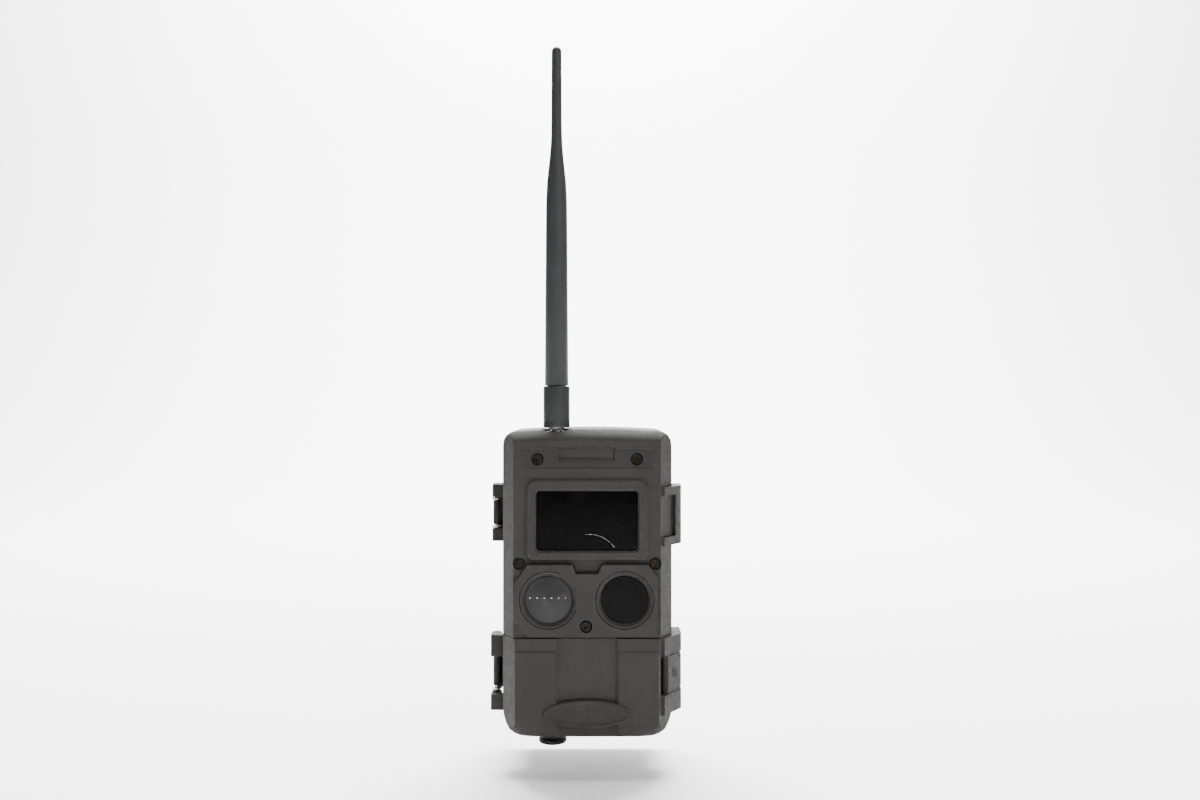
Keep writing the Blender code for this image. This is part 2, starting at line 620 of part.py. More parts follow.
def make_port(name, x, flat, glass_name, glass_look, glass_y):
    """A dished ring seated in the optics plate, and the lens or glass that it holds."""
    inner = LENS_RADIUS + GAP
    floor = PLATE_FLOOR_Y - GAP
    rim = FRONT_Y + 0.0003
    ring = outline_solid(name, port_outline(x, PORT_RADIUS - GAP, flat - GAP), rim, floor)
    cut(ring, turned("dish", [(0, rim - 0.0010), (PORT_RADIUS, rim - 0.0010), (PORT_RADIUS - 0.0009, rim),
                              (inner, rim + 0.0015), (inner, floor + 0.0010), (0, floor + 0.0010)],
                     (x, 0, OPTICS_HEIGHT), 'Y', 48))
    as_part(ring, CASE_PLASTIC, (x, floor, OPTICS_HEIGHT))
    back = GLASS_SEAT_Y - GAP
    glass = rod(glass_name, (x, back, OPTICS_HEIGHT), (x, glass_y, OPTICS_HEIGHT), LENS_RADIUS, 48)
    as_part(glass, glass_look, (x, back, OPTICS_HEIGHT))


def make_optics():
    make_port("pir_ring", PIR_X, PIR_FLAT, "pir_lens", FRESNEL_PLASTIC, FRONT_Y + 0.0019)
    make_port("lens_ring", LENS_X, PORT_RADIUS, "lens_window", BLACK_GLASS, FRONT_Y + 0.0021)
    height = OPTICS_HEIGHT
    can = rod("pir_sensor", (PIR_X, -0.0420, height), (PIR_X, -0.0465, height), 0.0046, 24)
    as_part(can, STEEL, (PIR_X, -0.0420, height))
    barrel = turned("lens_barrel", [(0.0048, -0.0540), (0.0090, -0.0540), (0.0090, -0.0490),
                                    (0.0072, -0.0485),
                                    (0.0072, -0.0385), (0.0048, -0.0385)], (LENS_X, 0, height), 'Y', 28)
    as_part(barrel, BLACK_PLASTIC, (LENS_X, -0.0385, height))
    front = rod("lens_element", (LENS_X, -0.0500, height), (LENS_X, -0.0532, height), 0.0045, 28, 0.0030)
    as_part(front, BLACK_GLASS, (LENS_X, -0.0500, height))
    sensor = block("sensor_board", (LENS_X - 0.0120, -0.0382, height - 0.0120),
                   (LENS_X + 0.0120, -0.0366, height + 0.0120))
    as_part(sensor, CIRCUIT_BOARD, (LENS_X, -0.0374, height))


def make_flash():
    low = (-WINDOW_HALF - 0.0015, WINDOW_LIP_Y + 0.0009, WINDOW_LOW - 0.0015)
    high = (WINDOW_HALF + 0.0015, WINDOW_LIP_Y + 0.0027, WINDOW_HIGH + 0.0015)
    window = block("flash_window", low, high, 1, 0.0016, 3)
    as_part(window, BLACK_GLASS, (0, high[1], (WINDOW_LOW + WINDOW_HIGH) / 2))
    gasket = block("window_gasket", (low[0], WINDOW_LIP_Y + 0.0002, low[2]),
                   (high[0], low[1] - 0.0002, high[2]),
                   1, 0.0016, 3)
    cut(gasket, block("gasket_opening", (-WINDOW_HALF, -0.07, WINDOW_LOW), (WINDOW_HALF, -0.04, WINDOW_HIGH),
                      1, 0.0019, 3))
    as_part(gasket, RUBBER, (0, WINDOW_LIP_Y, (WINDOW_LOW + WINDOW_HIGH) / 2))
    board = block("led_board", (-0.0275, -0.0490, 0.0895), (0.0275, -0.0474, 0.1229))
    as_part(board, CIRCUIT_BOARD, (0, -0.0474, 0.1062))
    array = block("led_array", (-0.0260, -0.0508, 0.0910), (0.0260, -0.0493, 0.1214))
    for column in range(7):
        for row in range(4):
            x = -0.0222 + 0.0074 * column
            height = 0.0950 + 0.0075 * row
            fuse(array, rod("led", (x, -0.0504, height), (x, -0.0536, height), 0.0024, 8, 0.0014))
    as_part(array, BLACK_GLASS, (0, -0.0493, 0.1062))


def make_electronics():
    board = block("main_board", (-0.0360, -0.0240, 0.0560), (0.0360, -0.0224, 0.1440))
    as_part(board, CIRCUIT_BOARD, (0, -0.0232, 0.1000))
    modem = block("cellular_module", (-0.0300, -0.0285, 0.1100), (-0.0020, -0.0243, 0.1400), 1, 0.0010, 2)
    as_part(modem, STEEL, (-0.0160, -0.0243, 0.1250))
    nut = rod("antenna_nut", (ANTENNA_X, ANTENNA_Y, 0.1451), (ANTENNA_X, ANTENNA_Y, 0.1476), 0.0046, 6)
    cut(nut, rod("nut_bore", (ANTENNA_X, ANTENNA_Y, 0.14), (ANTENNA_X, ANTENNA_Y, 0.16), 0.0036, 24))
    as_part(nut, STEEL, (ANTENNA_X, ANTENNA_Y, 0.1451))
    socket = turned("antenna_socket", [(0, 0.1530), (0.0022, 0.1530), (0.0022, 0.1505), (0.0033, 0.1505),
                                       (0.0033, 0.1400), (0, 0.1400)], (ANTENNA_X, ANTENNA_Y, 0), 'Z', 24)
    as_part(socket, GOLD, (ANTENNA_X, ANTENNA_Y, 0.1400))
    lead = bpy.data.curves.new("antenna_lead", 'CURVE')
    lead.dimensions = '3D'
    lead.bevel_depth = 0.0007
    lead.bevel_resolution = 2
    lead.use_fill_caps = True
    start = Vector((ANTENNA_X, ANTENNA_Y, 0.1397))
    bend = Vector((ANTENNA_X, ANTENNA_Y + 0.0010, 0.1290))
    end = Vector((ANTENNA_X, -0.0288, 0.1290))
    spline = lead.splines.new('POLY')
    steps = 12
    spline.points.add(steps)
    for step in range(steps + 1):
        share = step / steps
        spot = start * (1 - share) ** 2 + bend * 2 * share * (1 - share) + end * share ** 2
        spline.points[step].co = (*spot, 1)
    as_part(settle(bpy.data.objects.new("antenna_lead", lead)), BLACK_PLASTIC, (ANTENNA_X, -0.0288, 0.1290))


def make_gaskets():
    """Rubber rings on the rear housing's rim, for the front housing and for the door."""
    front = SPLIT_Y - 0.0012
    inner = WALL + 0.0014
    outer = WALL + 0.0004
    housing = outline_solid("housing_gasket", case_outline(outer, low=SHELF_HIGH + 0.0006), front,
                            SPLIT_Y + 0.0030)
    cut(housing, outline_solid("housing_gasket_bore", case_outline(inner, low=SHELF_HIGH + 0.0016), -0.05,
                               -0.03))
    as_part(housing, RUBBER, (0, SPLIT_Y, 0.1000))


# ---------------------------------------------------------------- antenna
def make_antenna():
    pivot = empty("antenna_axis", (ANTENNA_X, ANTENNA_Y, ANTENNA_FOOT), case_frame)
    centre = (ANTENNA_X, ANTENNA_Y, 0)
    origin = (ANTENNA_X, ANTENNA_Y, ANTENNA_FOOT)
    collar_top = 0.1726
    ferrule = turned("antenna_ferrule", [(0.0026, 0.1560), (0.0040, 0.1560), (0.0040, 0.1509),
                                         (0.0026, 0.1509)],
                     centre, 'Z', 24)
    as_part(ferrule, STEEL, origin, pivot)
    collar = turned("antenna_collar",
                    [(0, collar_top - 0.0060), (SPIGOT_RADIUS + GAP, collar_top - 0.0060),
                     (SPIGOT_RADIUS + GAP, collar_top - GAP), (0.0062, collar_top - GAP),
                     (0.0066, collar_top - 0.0008), (0.0066, ANTENNA_FOOT + 0.0003), (0.0063, ANTENNA_FOOT),
                     (0.0043, ANTENNA_FOOT), (0.0043, 0.1565), (0, 0.1565)], centre, 'Z', 32)
    as_part(collar, SATIN_PLASTIC, origin, pivot)
    whip = [(0, ANTENNA_TIP)]
    tip_radius = 0.0025
    for step in range(1, 5):
        angle = math.radians(90 * step / 4)
        whip.append((tip_radius * math.sin(angle), ANTENNA_TIP - tip_radius * (1 - math.cos(angle))))
    whip += [(0.0027, 0.2975), (0.0033, 0.2900), (0.0041, 0.2801), (0.0048, 0.2700), (0.0053, 0.2613),
             (0.0059, collar_top), (SPIGOT_RADIUS, collar_top), (SPIGOT_RADIUS, collar_top - 0.0055),
             (0, collar_top - 0.0055)]
    as_part(turned("antenna_whip", whip, centre, 'Z', 32), SATIN_PLASTIC, origin, pivot)


# ---------------------------------------------------------------- lower door
def make_door():
    pivot = empty("door_axis", (-PIN_X, PIN_Y, 0.0270), case_frame)
    origin = (-PIN_X, PIN_Y, 0.0270)
    top = SEAM_HEIGHT - GAP / 2
    body = outline_solid("lower_door", case_outline(0, high=top), FRONT_Y, SPLIT_Y - GAP)
    body = round_rim(body, FRONT_Y, FRONT_ROUND, 5, door_rim_share)
    bay = outline_solid("door_bay", lid_outline(WALL, 0.0346), BAY_STEP_Y, 0.0)
    fuse(bay, outline_solid("door_bay_face", lid_outline(BAY_FACE_INSET, 0.0340), DOOR_SKIN_Y,
                            BAY_STEP_Y + 0.001))
    cut(bay, *side_slopes(SLOPE_WALL))
    cut(body, bay, *side_slopes())
    cut(body,
        outline_solid("door_channel", CHANNEL_SECTION, -0.01, 0.06, 'XY'),
        outline_solid("door_lip", LIP_SECTION, -0.0352, 0.0352, 'YZ'),
        oval("badge_pocket", -0.07, BADGE_FLOOR_Y, GAP))
    groove = outline_solid("gasket_groove", lid_outline(0.0007, 0.0386), SPLIT_Y - GAP - 0.0010,
                           SPLIT_Y + 0.001)
    cut(groove, outline_solid("groove_core", lid_outline(0.0017, 0.0376), -0.05, -0.03))
    cut(body, groove)
    for index, (low, high) in enumerate((LOWER_LUG, UPPER_LUG)):
        fuse(body,
             outline_solid(f"latch_lug_{index}", ramp_outline(), *LATCH_LUGS[index], 'XY'),
             rod(f"door_knuckle_{index}", (-PIN_X, PIN_Y, low), (-PIN_X, PIN_Y, high), KNUCKLE_RADIUS, 20),
             block(f"knuckle_arm_{index}", (-PIN_X - KNUCKLE_RADIUS, -0.0425, low),
                   (-PIN_X + 0.0028, PIN_Y, high),
                   2, 0.0012, 2, lambda middle: middle.y < -0.04 and middle.x < -0.047),
             block(f"knuckle_web_{index}", (-PIN_X + 0.0020, -0.0425, low),
                   (-HALF_WIDTH + 0.0005, SPLIT_Y - 0.0006, high)))
    cut(body,
        rod("latch_barrel_room", (LATCH_PIN_X, LATCH_PIN_Y, LATCH_LOW - 0.0004),
            (LATCH_PIN_X, LATCH_PIN_Y, LATCH_HIGH + 0.0004), LATCH_ROOM_RADIUS, 28),
        block("latch_front_gap", (LATCH_PIN_X - LATCH_ROOM_RADIUS, -0.0700, LATCH_LOW - 0.0004),
              (LATCH_PIN_X + 0.001, LATCH_PIN_Y, LATCH_HIGH + 0.0004)),
        block("latch_side_room", (LATCH_PIN_X - 0.0002, -0.0700, LATCH_LOW - 0.0004),
              (0.06, -0.0300, LATCH_HIGH + 0.0004)),
        pin_hole("latch_pin_hole", LATCH_PIN_X, LATCH_PIN_Y, LATCH_LOW - 0.0042, LATCH_HIGH + 0.0042,
                 LATCH_PIN_RADIUS + 0.0002),
        pin_hole("door_pin_hole", -PIN_X, PIN_Y, LOWER_LUG[0] + 0.0012, UPPER_LUG[1] - 0.0012,
                 PIN_RADIUS + 0.0002))
    as_part(body, CASE_PLASTIC, origin, pivot)

    badge = oval("badge_plate", FRONT_Y - 0.0009, BADGE_FLOOR_Y - GAP, 0.0)
    as_part(badge, CASE_PLASTIC, (0, FRONT_Y, BADGE_HEIGHT), pivot)

    pin = rod("latch_pin", (LATCH_PIN_X, LATCH_PIN_Y, LATCH_LOW - 0.0038),
              (LATCH_PIN_X, LATCH_PIN_Y, LATCH_HIGH + 0.0038), LATCH_PIN_RADIUS, 16)
    as_part(pin, STEEL, (LATCH_PIN_X, LATCH_PIN_Y, LATCH_LOW), pivot)

    make_door_gasket(pivot, origin)
    latch_pivot = empty("latch_axis", Vector((LATCH_PIN_X, LATCH_PIN_Y, LATCH_MIDDLE)) - Vector(origin),
                        pivot)
    make_latch(latch_pivot)


def oval(name, front, back, outset):
    """The badge's oval, made solid between two levels."""
    points = []
    for step in range(44):
        angle = 2 * math.pi * step / 44
        points.append(((BADGE_HALF_WIDTH + outset) * math.cos(angle),
                       BADGE_HEIGHT + (BADGE_HALF_HEIGHT + outset) * math.sin(angle)))
    return outline_solid(name, points, front, back)


def door_rim_share(middle):
    """The front rounding is full down the sides and round the corners, and thin along the bottom."""
    if middle.z > SEAM_HEIGHT - 0.001:
        return 0.0
    return 1.0 if middle.z > 0.0001 else 0.3


def lid_outline(inset, right):
    """An outline inside the door's edge, which stops at X = right, clear of the latch."""
    left = -HALF_WIDTH + inset
    high = SEAM_HEIGHT - GAP / 2 - inset
    radius = BOTTOM_RADIUS - inset
    points = arc((left + radius, inset + radius), radius, 180, 270, 6)
    points += arc((right - radius, inset + radius), radius, 270, 360, 6)
    return points + [(right, high), (left, high)]


def make_door_gasket(pivot, origin):
    """A rubber ring in the groove round the door's back edge."""
    ring = outline_solid("door_gasket", lid_outline(0.0009, 0.0384), SPLIT_Y - 0.0010, SPLIT_Y - 0.0001)
    cut(ring, outline_solid("door_gasket_core", lid_outline(0.0015, 0.0378), -0.05, -0.03))
    as_part(ring, RUBBER, origin, pivot)


def make_latch(pivot):
    """A lever that wraps round the side from its pin to a hooked end behind the keeper."""
    thick = 0.0020
    side = RIGHT_REACH - 0.0001
    outer = [(0.0385, -0.0547), (0.0399, -0.0551), (0.0406, -0.0540), (0.0421, -0.0514), (0.0447, -0.0476),
             (0.0465, -0.0448), (side, -0.0431), (side, -0.0292)]
    hook = [(0.0436, -0.0292), (0.0436, -0.0312)]
    inner = [(side - thick, -0.0312), (side - thick, -0.0427), (0.0448, -0.0437), (0.0431, -0.0463),
             (0.0405, -0.0502), (0.0390, -0.0520)]
    lever = outline_solid("latch", outer + hook + inner, LATCH_LOW, LATCH_HIGH, 'XY')
    fuse(lever, rod("latch_barrel", (LATCH_PIN_X, LATCH_PIN_Y, LATCH_LOW),
                    (LATCH_PIN_X, LATCH_PIN_Y, LATCH_HIGH),
                    LATCH_BARREL_RADIUS, 20))
    for index, height in enumerate((LATCH_LOW, LATCH_HIGH)):
        cut(lever, block(f"latch_notch_{index}", (0.0440, -0.0472, height - 0.0014),
                         (0.06, -0.02, height + 0.0014)))
    cut(lever, pin_hole("latch_bore", LATCH_PIN_X, LATCH_PIN_Y, 0, 0.06, LATCH_PIN_RADIUS + 0.0002))
    origin = (LATCH_PIN_X, LATCH_PIN_Y, LATCH_MIDDLE)
    parts.objects.link(lever)
    lever.data.transform(Matrix.Translation(-Vector(origin)))
    lever.parent = pivot
    finish(lever, CASE_PLASTIC)


# ---------------------------------------------------------------- pins and roller
def make_side_hardware():
    hinge = rod("hinge_pin", (-PIN_X, PIN_Y, LOWER_LUG[0] + 0.0016), (-PIN_X, PIN_Y, UPPER_LUG[1] - 0.0016),
                PIN_RADIUS, 16)
    as_part(hinge, STEEL, (-PIN_X, PIN_Y, 0.0270))
    roller_pin = rod("roller_pin", (-PIN_X, PIN_Y, TOP_LUG_LOW[0] + 0.0016),
                     (-PIN_X, PIN_Y, TOP_LUG_HIGH[1] - 0.0016),
                     PIN_RADIUS, 16)
    as_part(roller_pin, STEEL, (-PIN_X, PIN_Y, 0.1081))
    low, high = ROLLER
    roller = turned("strap_roller", [(PIN_RADIUS + 0.0002, high), (BARREL_RADIUS, high), (BARREL_RADIUS, low),
                                     (PIN_RADIUS + 0.0002, low)], (-PIN_X, PIN_Y, 0), 'Z', 20)
    as_part(roller, CASE_PLASTIC, (-PIN_X, PIN_Y, (low + high) / 2))
    for name, height in (("hinge_clip_upper", 0.0354), ("hinge_clip_lower", 0.0184),
                         ("roller_clip_upper", 0.1151), ("roller_clip_lower", 0.1010)):
        clip = turned(name, [(PIN_RADIUS + 0.0002, height + 0.0004), (0.0027, height + 0.0004),
                             (0.0027, height - 0.0004), (PIN_RADIUS + 0.0002, height - 0.0004)],
                      (-PIN_X, PIN_Y, 0), 'Z', 20)
        as_part(clip, STEEL, (-PIN_X, PIN_Y, height))
    insert = turned("tripod_insert", [(0.0032, -0.0070), (0.0032, -0.0002), (0.0046, -0.0002),
                                      (0.0046, -0.0070)],
                    (0, 0, 0.0640), 'Y', 28)
    as_part(insert, DARK_BRASS, (0, 0, 0.0640))


def make_power_socket():
    jack = rod("power_jack", (SOCKET_X, SOCKET_Y, -0.0030), (SOCKET_X, SOCKET_Y, 0.0024), 0.0037, 24)
    cut(jack, rod("jack_bore", (SOCKET_X, SOCKET_Y, -0.0040), (SOCKET_X, SOCKET_Y, 0.0014), 0.0028, 20))
    as_part(jack, BLACK_PLASTIC, (SOCKET_X, SOCKET_Y, 0))
    under = -SOCKET_DROP - GAP
    plug = turned("socket_plug", [(0, -0.0034), (0.0034, -0.0034), (0.0036, under), (0.0066, under),
                                  (0.0072, under - 0.0007), (0.0072, under - 0.0019), (0.0062,
                                                                                       under - 0.0025),
                                  (0, under - 0.0027)], (SOCKET_X, SOCKET_Y, 0), 'Z', 36)
    pivot = empty("plug_axis", (SOCKET_X, SOCKET_Y, under), case_frame)
    as_part(plug, RUBBER, (SOCKET_X, SOCKET_Y, under), pivot)


# ---------------------------------------------------------------- battery bay
def make_battery_tray():
    pivot = empty("tray_slide", (0, TRAY_FRONT, TRAY_LOW), case_frame)
    tray = block("battery_tray", (TRAY_LEFT, TRAY_FRONT, TRAY_LOW), (TRAY_RIGHT, TRAY_BACK, TRAY_HIGH),
                 1, 0.0056, 4, lambda middle: middle.x < 0 and middle.z < 0.02)
    cut(tray, block("tray_hollow", (TRAY_LEFT + TRAY_WALL, TRAY_FRONT - 0.001, TRAY_LOW + TRAY_WALL),
                    (TRAY_RIGHT - TRAY_WALL, TRAY_BACK - TRAY_WALL, TRAY_HIGH - TRAY_WALL),
                    1, 0.0044, 4, lambda middle: middle.x < 0 and middle.z < 0.02))
    origin = (0, TRAY_FRONT, TRAY_LOW)
    as_part(tray, BLACK_PLASTIC, origin, pivot)
    left = TRAY_LEFT + TRAY_WALL + 0.0018
    for row in range(2):
        for layer in range(2):
            height = 0.0128 + 0.0144 * row
            depth = -0.0127 - 0.0150 * layer
            number = 1 + layer + 2 * row
            make_cell(f"battery_{number}", left, depth, height, (row + layer) % 2 == 1, origin, pivot)
    for name, x in (("contact_plate_left", left - 0.0014),
                    ("contact_plate_right", left + CELL_LENGTH + 0.0014)):
        plate = block(name, (x - 0.0003, -0.0330, 0.0092), (x + 0.0003, -0.0070, 0.0320))
        as_part(plate, STEEL, origin, pivot)


def make_cell(name, left, y, height, flip, origin, pivot):
    """One AA cell lying across the tray, with its button at either end."""
    length = CELL_LENGTH
    profile = [(0, length), (0.0028, length), (0.0028, length - 0.0012), (0.0066, length - 0.0013),
               (CELL_RADIUS, length - 0.0020), (CELL_RADIUS, 0.0005), (0.0062, 0), (0, 0)]
    cell = turned(name, profile, (0, 0, 0), 'Z', 24)
    if flip:
        cell.data.transform(Matrix.Translation((0, 0, length)) @ Matrix.Rotation(math.pi, 4, 'X'))
    cell.data.transform(Matrix.Translation((left, y, height)) @ Matrix.Rotation(math.radians(90), 4, 'Y'))
    as_part(cell, CELL_SLEEVE, origin, pivot)


def make_controls():
    panel = block("control_panel", (0.0194, PANEL_FRONT, 0.0140), (0.0390, PANEL_BACK, 0.0460))
    fuse(panel, block("panel_strip", (-0.0390, PANEL_FRONT, 0.0364), (0.0200, PANEL_BACK, 0.0460)),
         block("panel_foot", (0.0194, PANEL_FRONT, 0.0036), (0.0330, PANEL_BACK, 0.0150)))
    cut(panel, block("display_opening", (PANEL_X - 0.0065, -0.05, 0.0320), (PANEL_X + 0.0065, -0.03, 0.0440)),
        block("card_opening", (-0.0292, -0.05, 0.0402), (-0.0028, -0.03, 0.0436)),
        block("switch_opening", (0.0222, -0.05, 0.0078), (0.0312, -0.03, 0.0118)))
    spots = {"up_button": (0, 1), "down_button": (0, -1), "left_button": (-1, 0), "right_button": (1, 0)}
    for name, (across, up) in spots.items():
        x = PANEL_X + BUTTON_SPREAD * across
        height = BUTTON_HEIGHT + BUTTON_SPREAD * up
        cut(panel, rod(name + "_hole", (x, -0.05, height), (x, -0.03, height), BUTTON_RADIUS + GAP, 20))
        pivot = empty(name + "_travel", (x, PANEL_FRONT, height), case_frame)
        cap = rod(name, (x, PANEL_BACK + 0.0006, height), (x, PANEL_FRONT - 0.0009, height), BUTTON_RADIUS,
                  20)
        as_part(cap, RUBBER, (x, PANEL_FRONT, height), pivot)
    as_part(panel, BLACK_PLASTIC, (0, PANEL_FRONT, 0.0250))
    display = block("display", (PANEL_X - 0.0062, PANEL_FRONT + 0.0005, 0.0323),
                    (PANEL_X + 0.0062, PANEL_BACK + 0.0010, 0.0437))
    as_part(display, BLACK_GLASS, (PANEL_X, PANEL_FRONT, 0.0380))
    pivot = empty("switch_travel", (0.0247, PANEL_FRONT, 0.0098), case_frame)
    knob = block("power_switch", (0.0225, PANEL_FRONT - 0.0012, 0.0081),
                 (0.0265, PANEL_BACK + 0.0006, 0.0115))
    as_part(knob, SATIN_PLASTIC, (0.0247, PANEL_FRONT, 0.0098), pivot)
    socket = block("card_socket", (-0.0296, -0.0355, 0.0398), (-0.0024, -0.0080, 0.0440))
    cut(socket, block("card_slot", (-0.0283, -0.05, 0.0406), (-0.0037, -0.0100, 0.0432)))
    as_part(socket, STEEL, (-0.0160, -0.0217, 0.0419))
    pivot = empty("card_travel", (-0.0160, -0.0400, 0.0419), case_frame)
    card = block("memory_card", (-0.0280, -0.0400, 0.0409), (-0.0040, -0.0105, 0.0429), 2, 0.0010, 1)
    as_part(card, BLACK_PLASTIC, (-0.0160, -0.0400, 0.0419), pivot)


def build():
    start_scene()
    make_rear_housing()
    make_front_housing()
    make_gaskets()
    make_optics_plate()
    make_screws()
    make_optics()
    make_flash()
    make_electronics()
    make_antenna()
    make_door()
    make_side_hardware()
    make_power_socket()
    make_battery_tray()
    make_controls()


build()
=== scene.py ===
"""Looks of the trail camera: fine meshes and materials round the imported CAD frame.

Metres, +Z up, the front faces -Y and the origin is the centre of the back's flat pad.
"""
import json
import math

import bmesh
import bpy
from mathutils import Matrix, Vector


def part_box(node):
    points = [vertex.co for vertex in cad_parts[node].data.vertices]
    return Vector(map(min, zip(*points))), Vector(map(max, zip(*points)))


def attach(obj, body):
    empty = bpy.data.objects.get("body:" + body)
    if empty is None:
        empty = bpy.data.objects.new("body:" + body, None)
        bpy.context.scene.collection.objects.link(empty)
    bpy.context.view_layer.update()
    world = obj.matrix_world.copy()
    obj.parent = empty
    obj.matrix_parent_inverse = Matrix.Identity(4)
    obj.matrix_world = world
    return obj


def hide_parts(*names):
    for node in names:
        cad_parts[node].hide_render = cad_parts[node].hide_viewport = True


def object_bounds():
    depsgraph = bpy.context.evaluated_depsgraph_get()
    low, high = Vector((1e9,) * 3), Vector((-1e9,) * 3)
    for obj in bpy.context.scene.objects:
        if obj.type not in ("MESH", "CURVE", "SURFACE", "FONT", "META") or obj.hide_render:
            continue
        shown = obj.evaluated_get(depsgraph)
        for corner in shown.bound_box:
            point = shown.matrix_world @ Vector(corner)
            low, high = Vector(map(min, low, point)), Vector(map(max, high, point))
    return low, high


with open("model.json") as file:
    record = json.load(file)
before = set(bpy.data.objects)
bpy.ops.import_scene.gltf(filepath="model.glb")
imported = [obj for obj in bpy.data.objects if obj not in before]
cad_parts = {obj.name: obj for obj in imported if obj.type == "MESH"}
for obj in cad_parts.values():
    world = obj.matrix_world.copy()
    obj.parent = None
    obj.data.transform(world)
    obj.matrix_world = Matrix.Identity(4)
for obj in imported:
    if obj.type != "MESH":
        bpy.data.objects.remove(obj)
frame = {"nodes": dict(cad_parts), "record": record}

cad_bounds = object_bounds()
node_body = {node: body for body, nodes in frame["record"]["behaviour"]["bodies"].items() for node in nodes}
node_slot = {row["node"]: row["material_slot"] for row in frame["record"]["subparts"]}

# ---------------------------------------------------------------- named values
CASE_COLOUR = (0.0286, 0.0276, 0.0272)
ANTENNA_COLOUR = (0.0300, 0.0308, 0.0314)
BLACK_COLOUR = (0.014, 0.014, 0.015)
RUBBER_COLOUR = (0.013, 0.013, 0.014)
SLEEVE_COLOUR = (0.012, 0.012, 0.014)
COPPER_COLOUR = (0.42, 0.19, 0.07)
BOARD_COLOUR = (0.010, 0.075, 0.030)

MERGE_DISTANCE = 0.000002    # vertices nearer than this are one
ON_AXIS = 1e-7               # a profile radius below this is a point on the axis

SPIGOT_RADIUS = 0.0048       # the whip's foot, which goes down into the collar
SPIGOT_DEPTH = 0.0058
FERRULE_BORE = 0.0027
FLUTES = 24
FLUTE_DEPTH = 0.00016
LENS_RINGS = 14
# the row of bright steel dots on the motion sensor's lens: painted highlights, not real lens facets
LENS_GLINT_DOTS = 6
GLINT_DOT_PITCH = 0.0035
BADGE_STEPS = 96
BADGE_BARS = 9
BAR_SPREAD = 0.62            # how far out the outermost bars stand, as a share of the half width
BAR_RADIUS = 0.00024
RING_STEPS = 28
ARC_STEPS = 24
COPPER_LENGTH = 0.013
TURNED_CELLS = (2, 3)        # cells with their copper end on the left

FLOOR_GAP = 0.0100           # between the floor and the lowest point of the part
STAGE_FRONT = -1.5
STAGE_HALF_WIDTH = 1.5
SWEEP_START = 1.2            # where the floor begins to curve up
SWEEP_RADIUS = 0.8
SWEEP_STEPS = 12
WALL_TOP = 2.6

CAMERA_DISTANCE = 0.537      # from the front face
CAMERA_LENS = 33.03
SENSOR_WIDTH = 36.0
CAMERA_RISE = 0.1654         # above the door's lower edge
CAMERA_SHIFT_RIGHT = 0.00634


# ---------------------------------------------------------------- material helpers
class Surface:
    """A material with a Principled shader and short ways to add nodes to it."""

    def __init__(self, name, colour, roughness, metallic=0.0):
        self.material = bpy.data.materials.new(name)
        self.material.use_nodes = True
        self.nodes = self.material.node_tree.nodes
        self.links = self.material.node_tree.links
        self.shader = self.nodes["Principled BSDF"]
        self.shader.inputs["Base Color"].default_value = (*colour, 1.0)
        self.shader.inputs["Roughness"].default_value = roughness
        self.shader.inputs["Metallic"].default_value = metallic
        self.coordinates = self.nodes.new("ShaderNodeTexCoord").outputs["Object"]
        self.last_normal = None

    def noise(self, scale, detail=2.0, stretch=None):
        """Noise in the object's own metres; scale is waves per metre."""
        texture = self.nodes.new("ShaderNodeTexNoise")
        texture.inputs["Scale"].default_value = scale
        texture.inputs["Detail"].default_value = detail
        source = self.coordinates
        if stretch is not None:
            mapping = self.nodes.new("ShaderNodeMapping")
            mapping.inputs["Scale"].default_value = stretch
            self.links.new(source, mapping.inputs["Vector"])
            source = mapping.outputs["Vector"]
        self.links.new(source, texture.inputs["Vector"])
        return texture.outputs["Fac"]

    def spread(self, source, low, high, start=0.35, end=0.65):
        """Map a value from start..end to low..high."""
        remap = self.nodes.new("ShaderNodeMapRange")
        remap.inputs["From Min"].default_value = start
        remap.inputs["From Max"].default_value = end
        remap.inputs["To Min"].default_value = low
        remap.inputs["To Max"].default_value = high
        self.links.new(source, remap.inputs["Value"])
        return remap.outputs["Result"]

    def bump(self, height, distance, strength=1.0):
        node = self.nodes.new("ShaderNodeBump")
        node.inputs["Distance"].default_value = distance
        node.inputs["Strength"].default_value = strength
        self.links.new(height, node.inputs["Height"])
        if self.last_normal is not None:
            self.links.new(self.last_normal, node.inputs["Normal"])
        self.last_normal = node.outputs["Normal"]
        self.links.new(self.last_normal, self.shader.inputs["Normal"])

    def edges(self, radius):
        """About 1 on convex edges and 0 on flat faces, from the surface's own normals."""
        bevel = self.nodes.new("ShaderNodeBevel")
        bevel.samples = 4
        bevel.inputs["Radius"].default_value = radius
        geometry = self.nodes.new("ShaderNodeNewGeometry")
        dot = self.nodes.new("ShaderNodeVectorMath")
        dot.operation = 'DOT_PRODUCT'
        self.links.new(bevel.outputs["Normal"], dot.inputs[0])
        self.links.new(geometry.outputs["Normal"], dot.inputs[1])
        return self.spread(dot.outputs["Value"], 1.0, 0.0, 0.80, 0.99)

    def mix_colour(self, factor, first, second):
        mix = self.nodes.new("ShaderNodeMix")
        mix.data_type = 'RGBA'
        self.links.new(factor, mix.inputs["Factor"])
        for socket, value in ((mix.inputs[6], first), (mix.inputs[7], second)):
            if isinstance(value, tuple):
                socket.default_value = (*value, 1.0)
            else:
                self.links.new(value, socket)
        return mix.outputs[2]

    def colour(self, source):
        self.links.new(source, self.shader.inputs["Base Color"])

    def roughness(self, source):
        self.links.new(source, self.shader.inputs["Roughness"])


def times(surface, first, second):
    node = surface.nodes.new("ShaderNodeMath")
    node.operation = 'MULTIPLY'
    surface.links.new(first, node.inputs[0])
    if isinstance(second, float):
        node.inputs[1].default_value = second
    else:
        surface.links.new(second, node.inputs[1])
    return node.outputs["Value"]


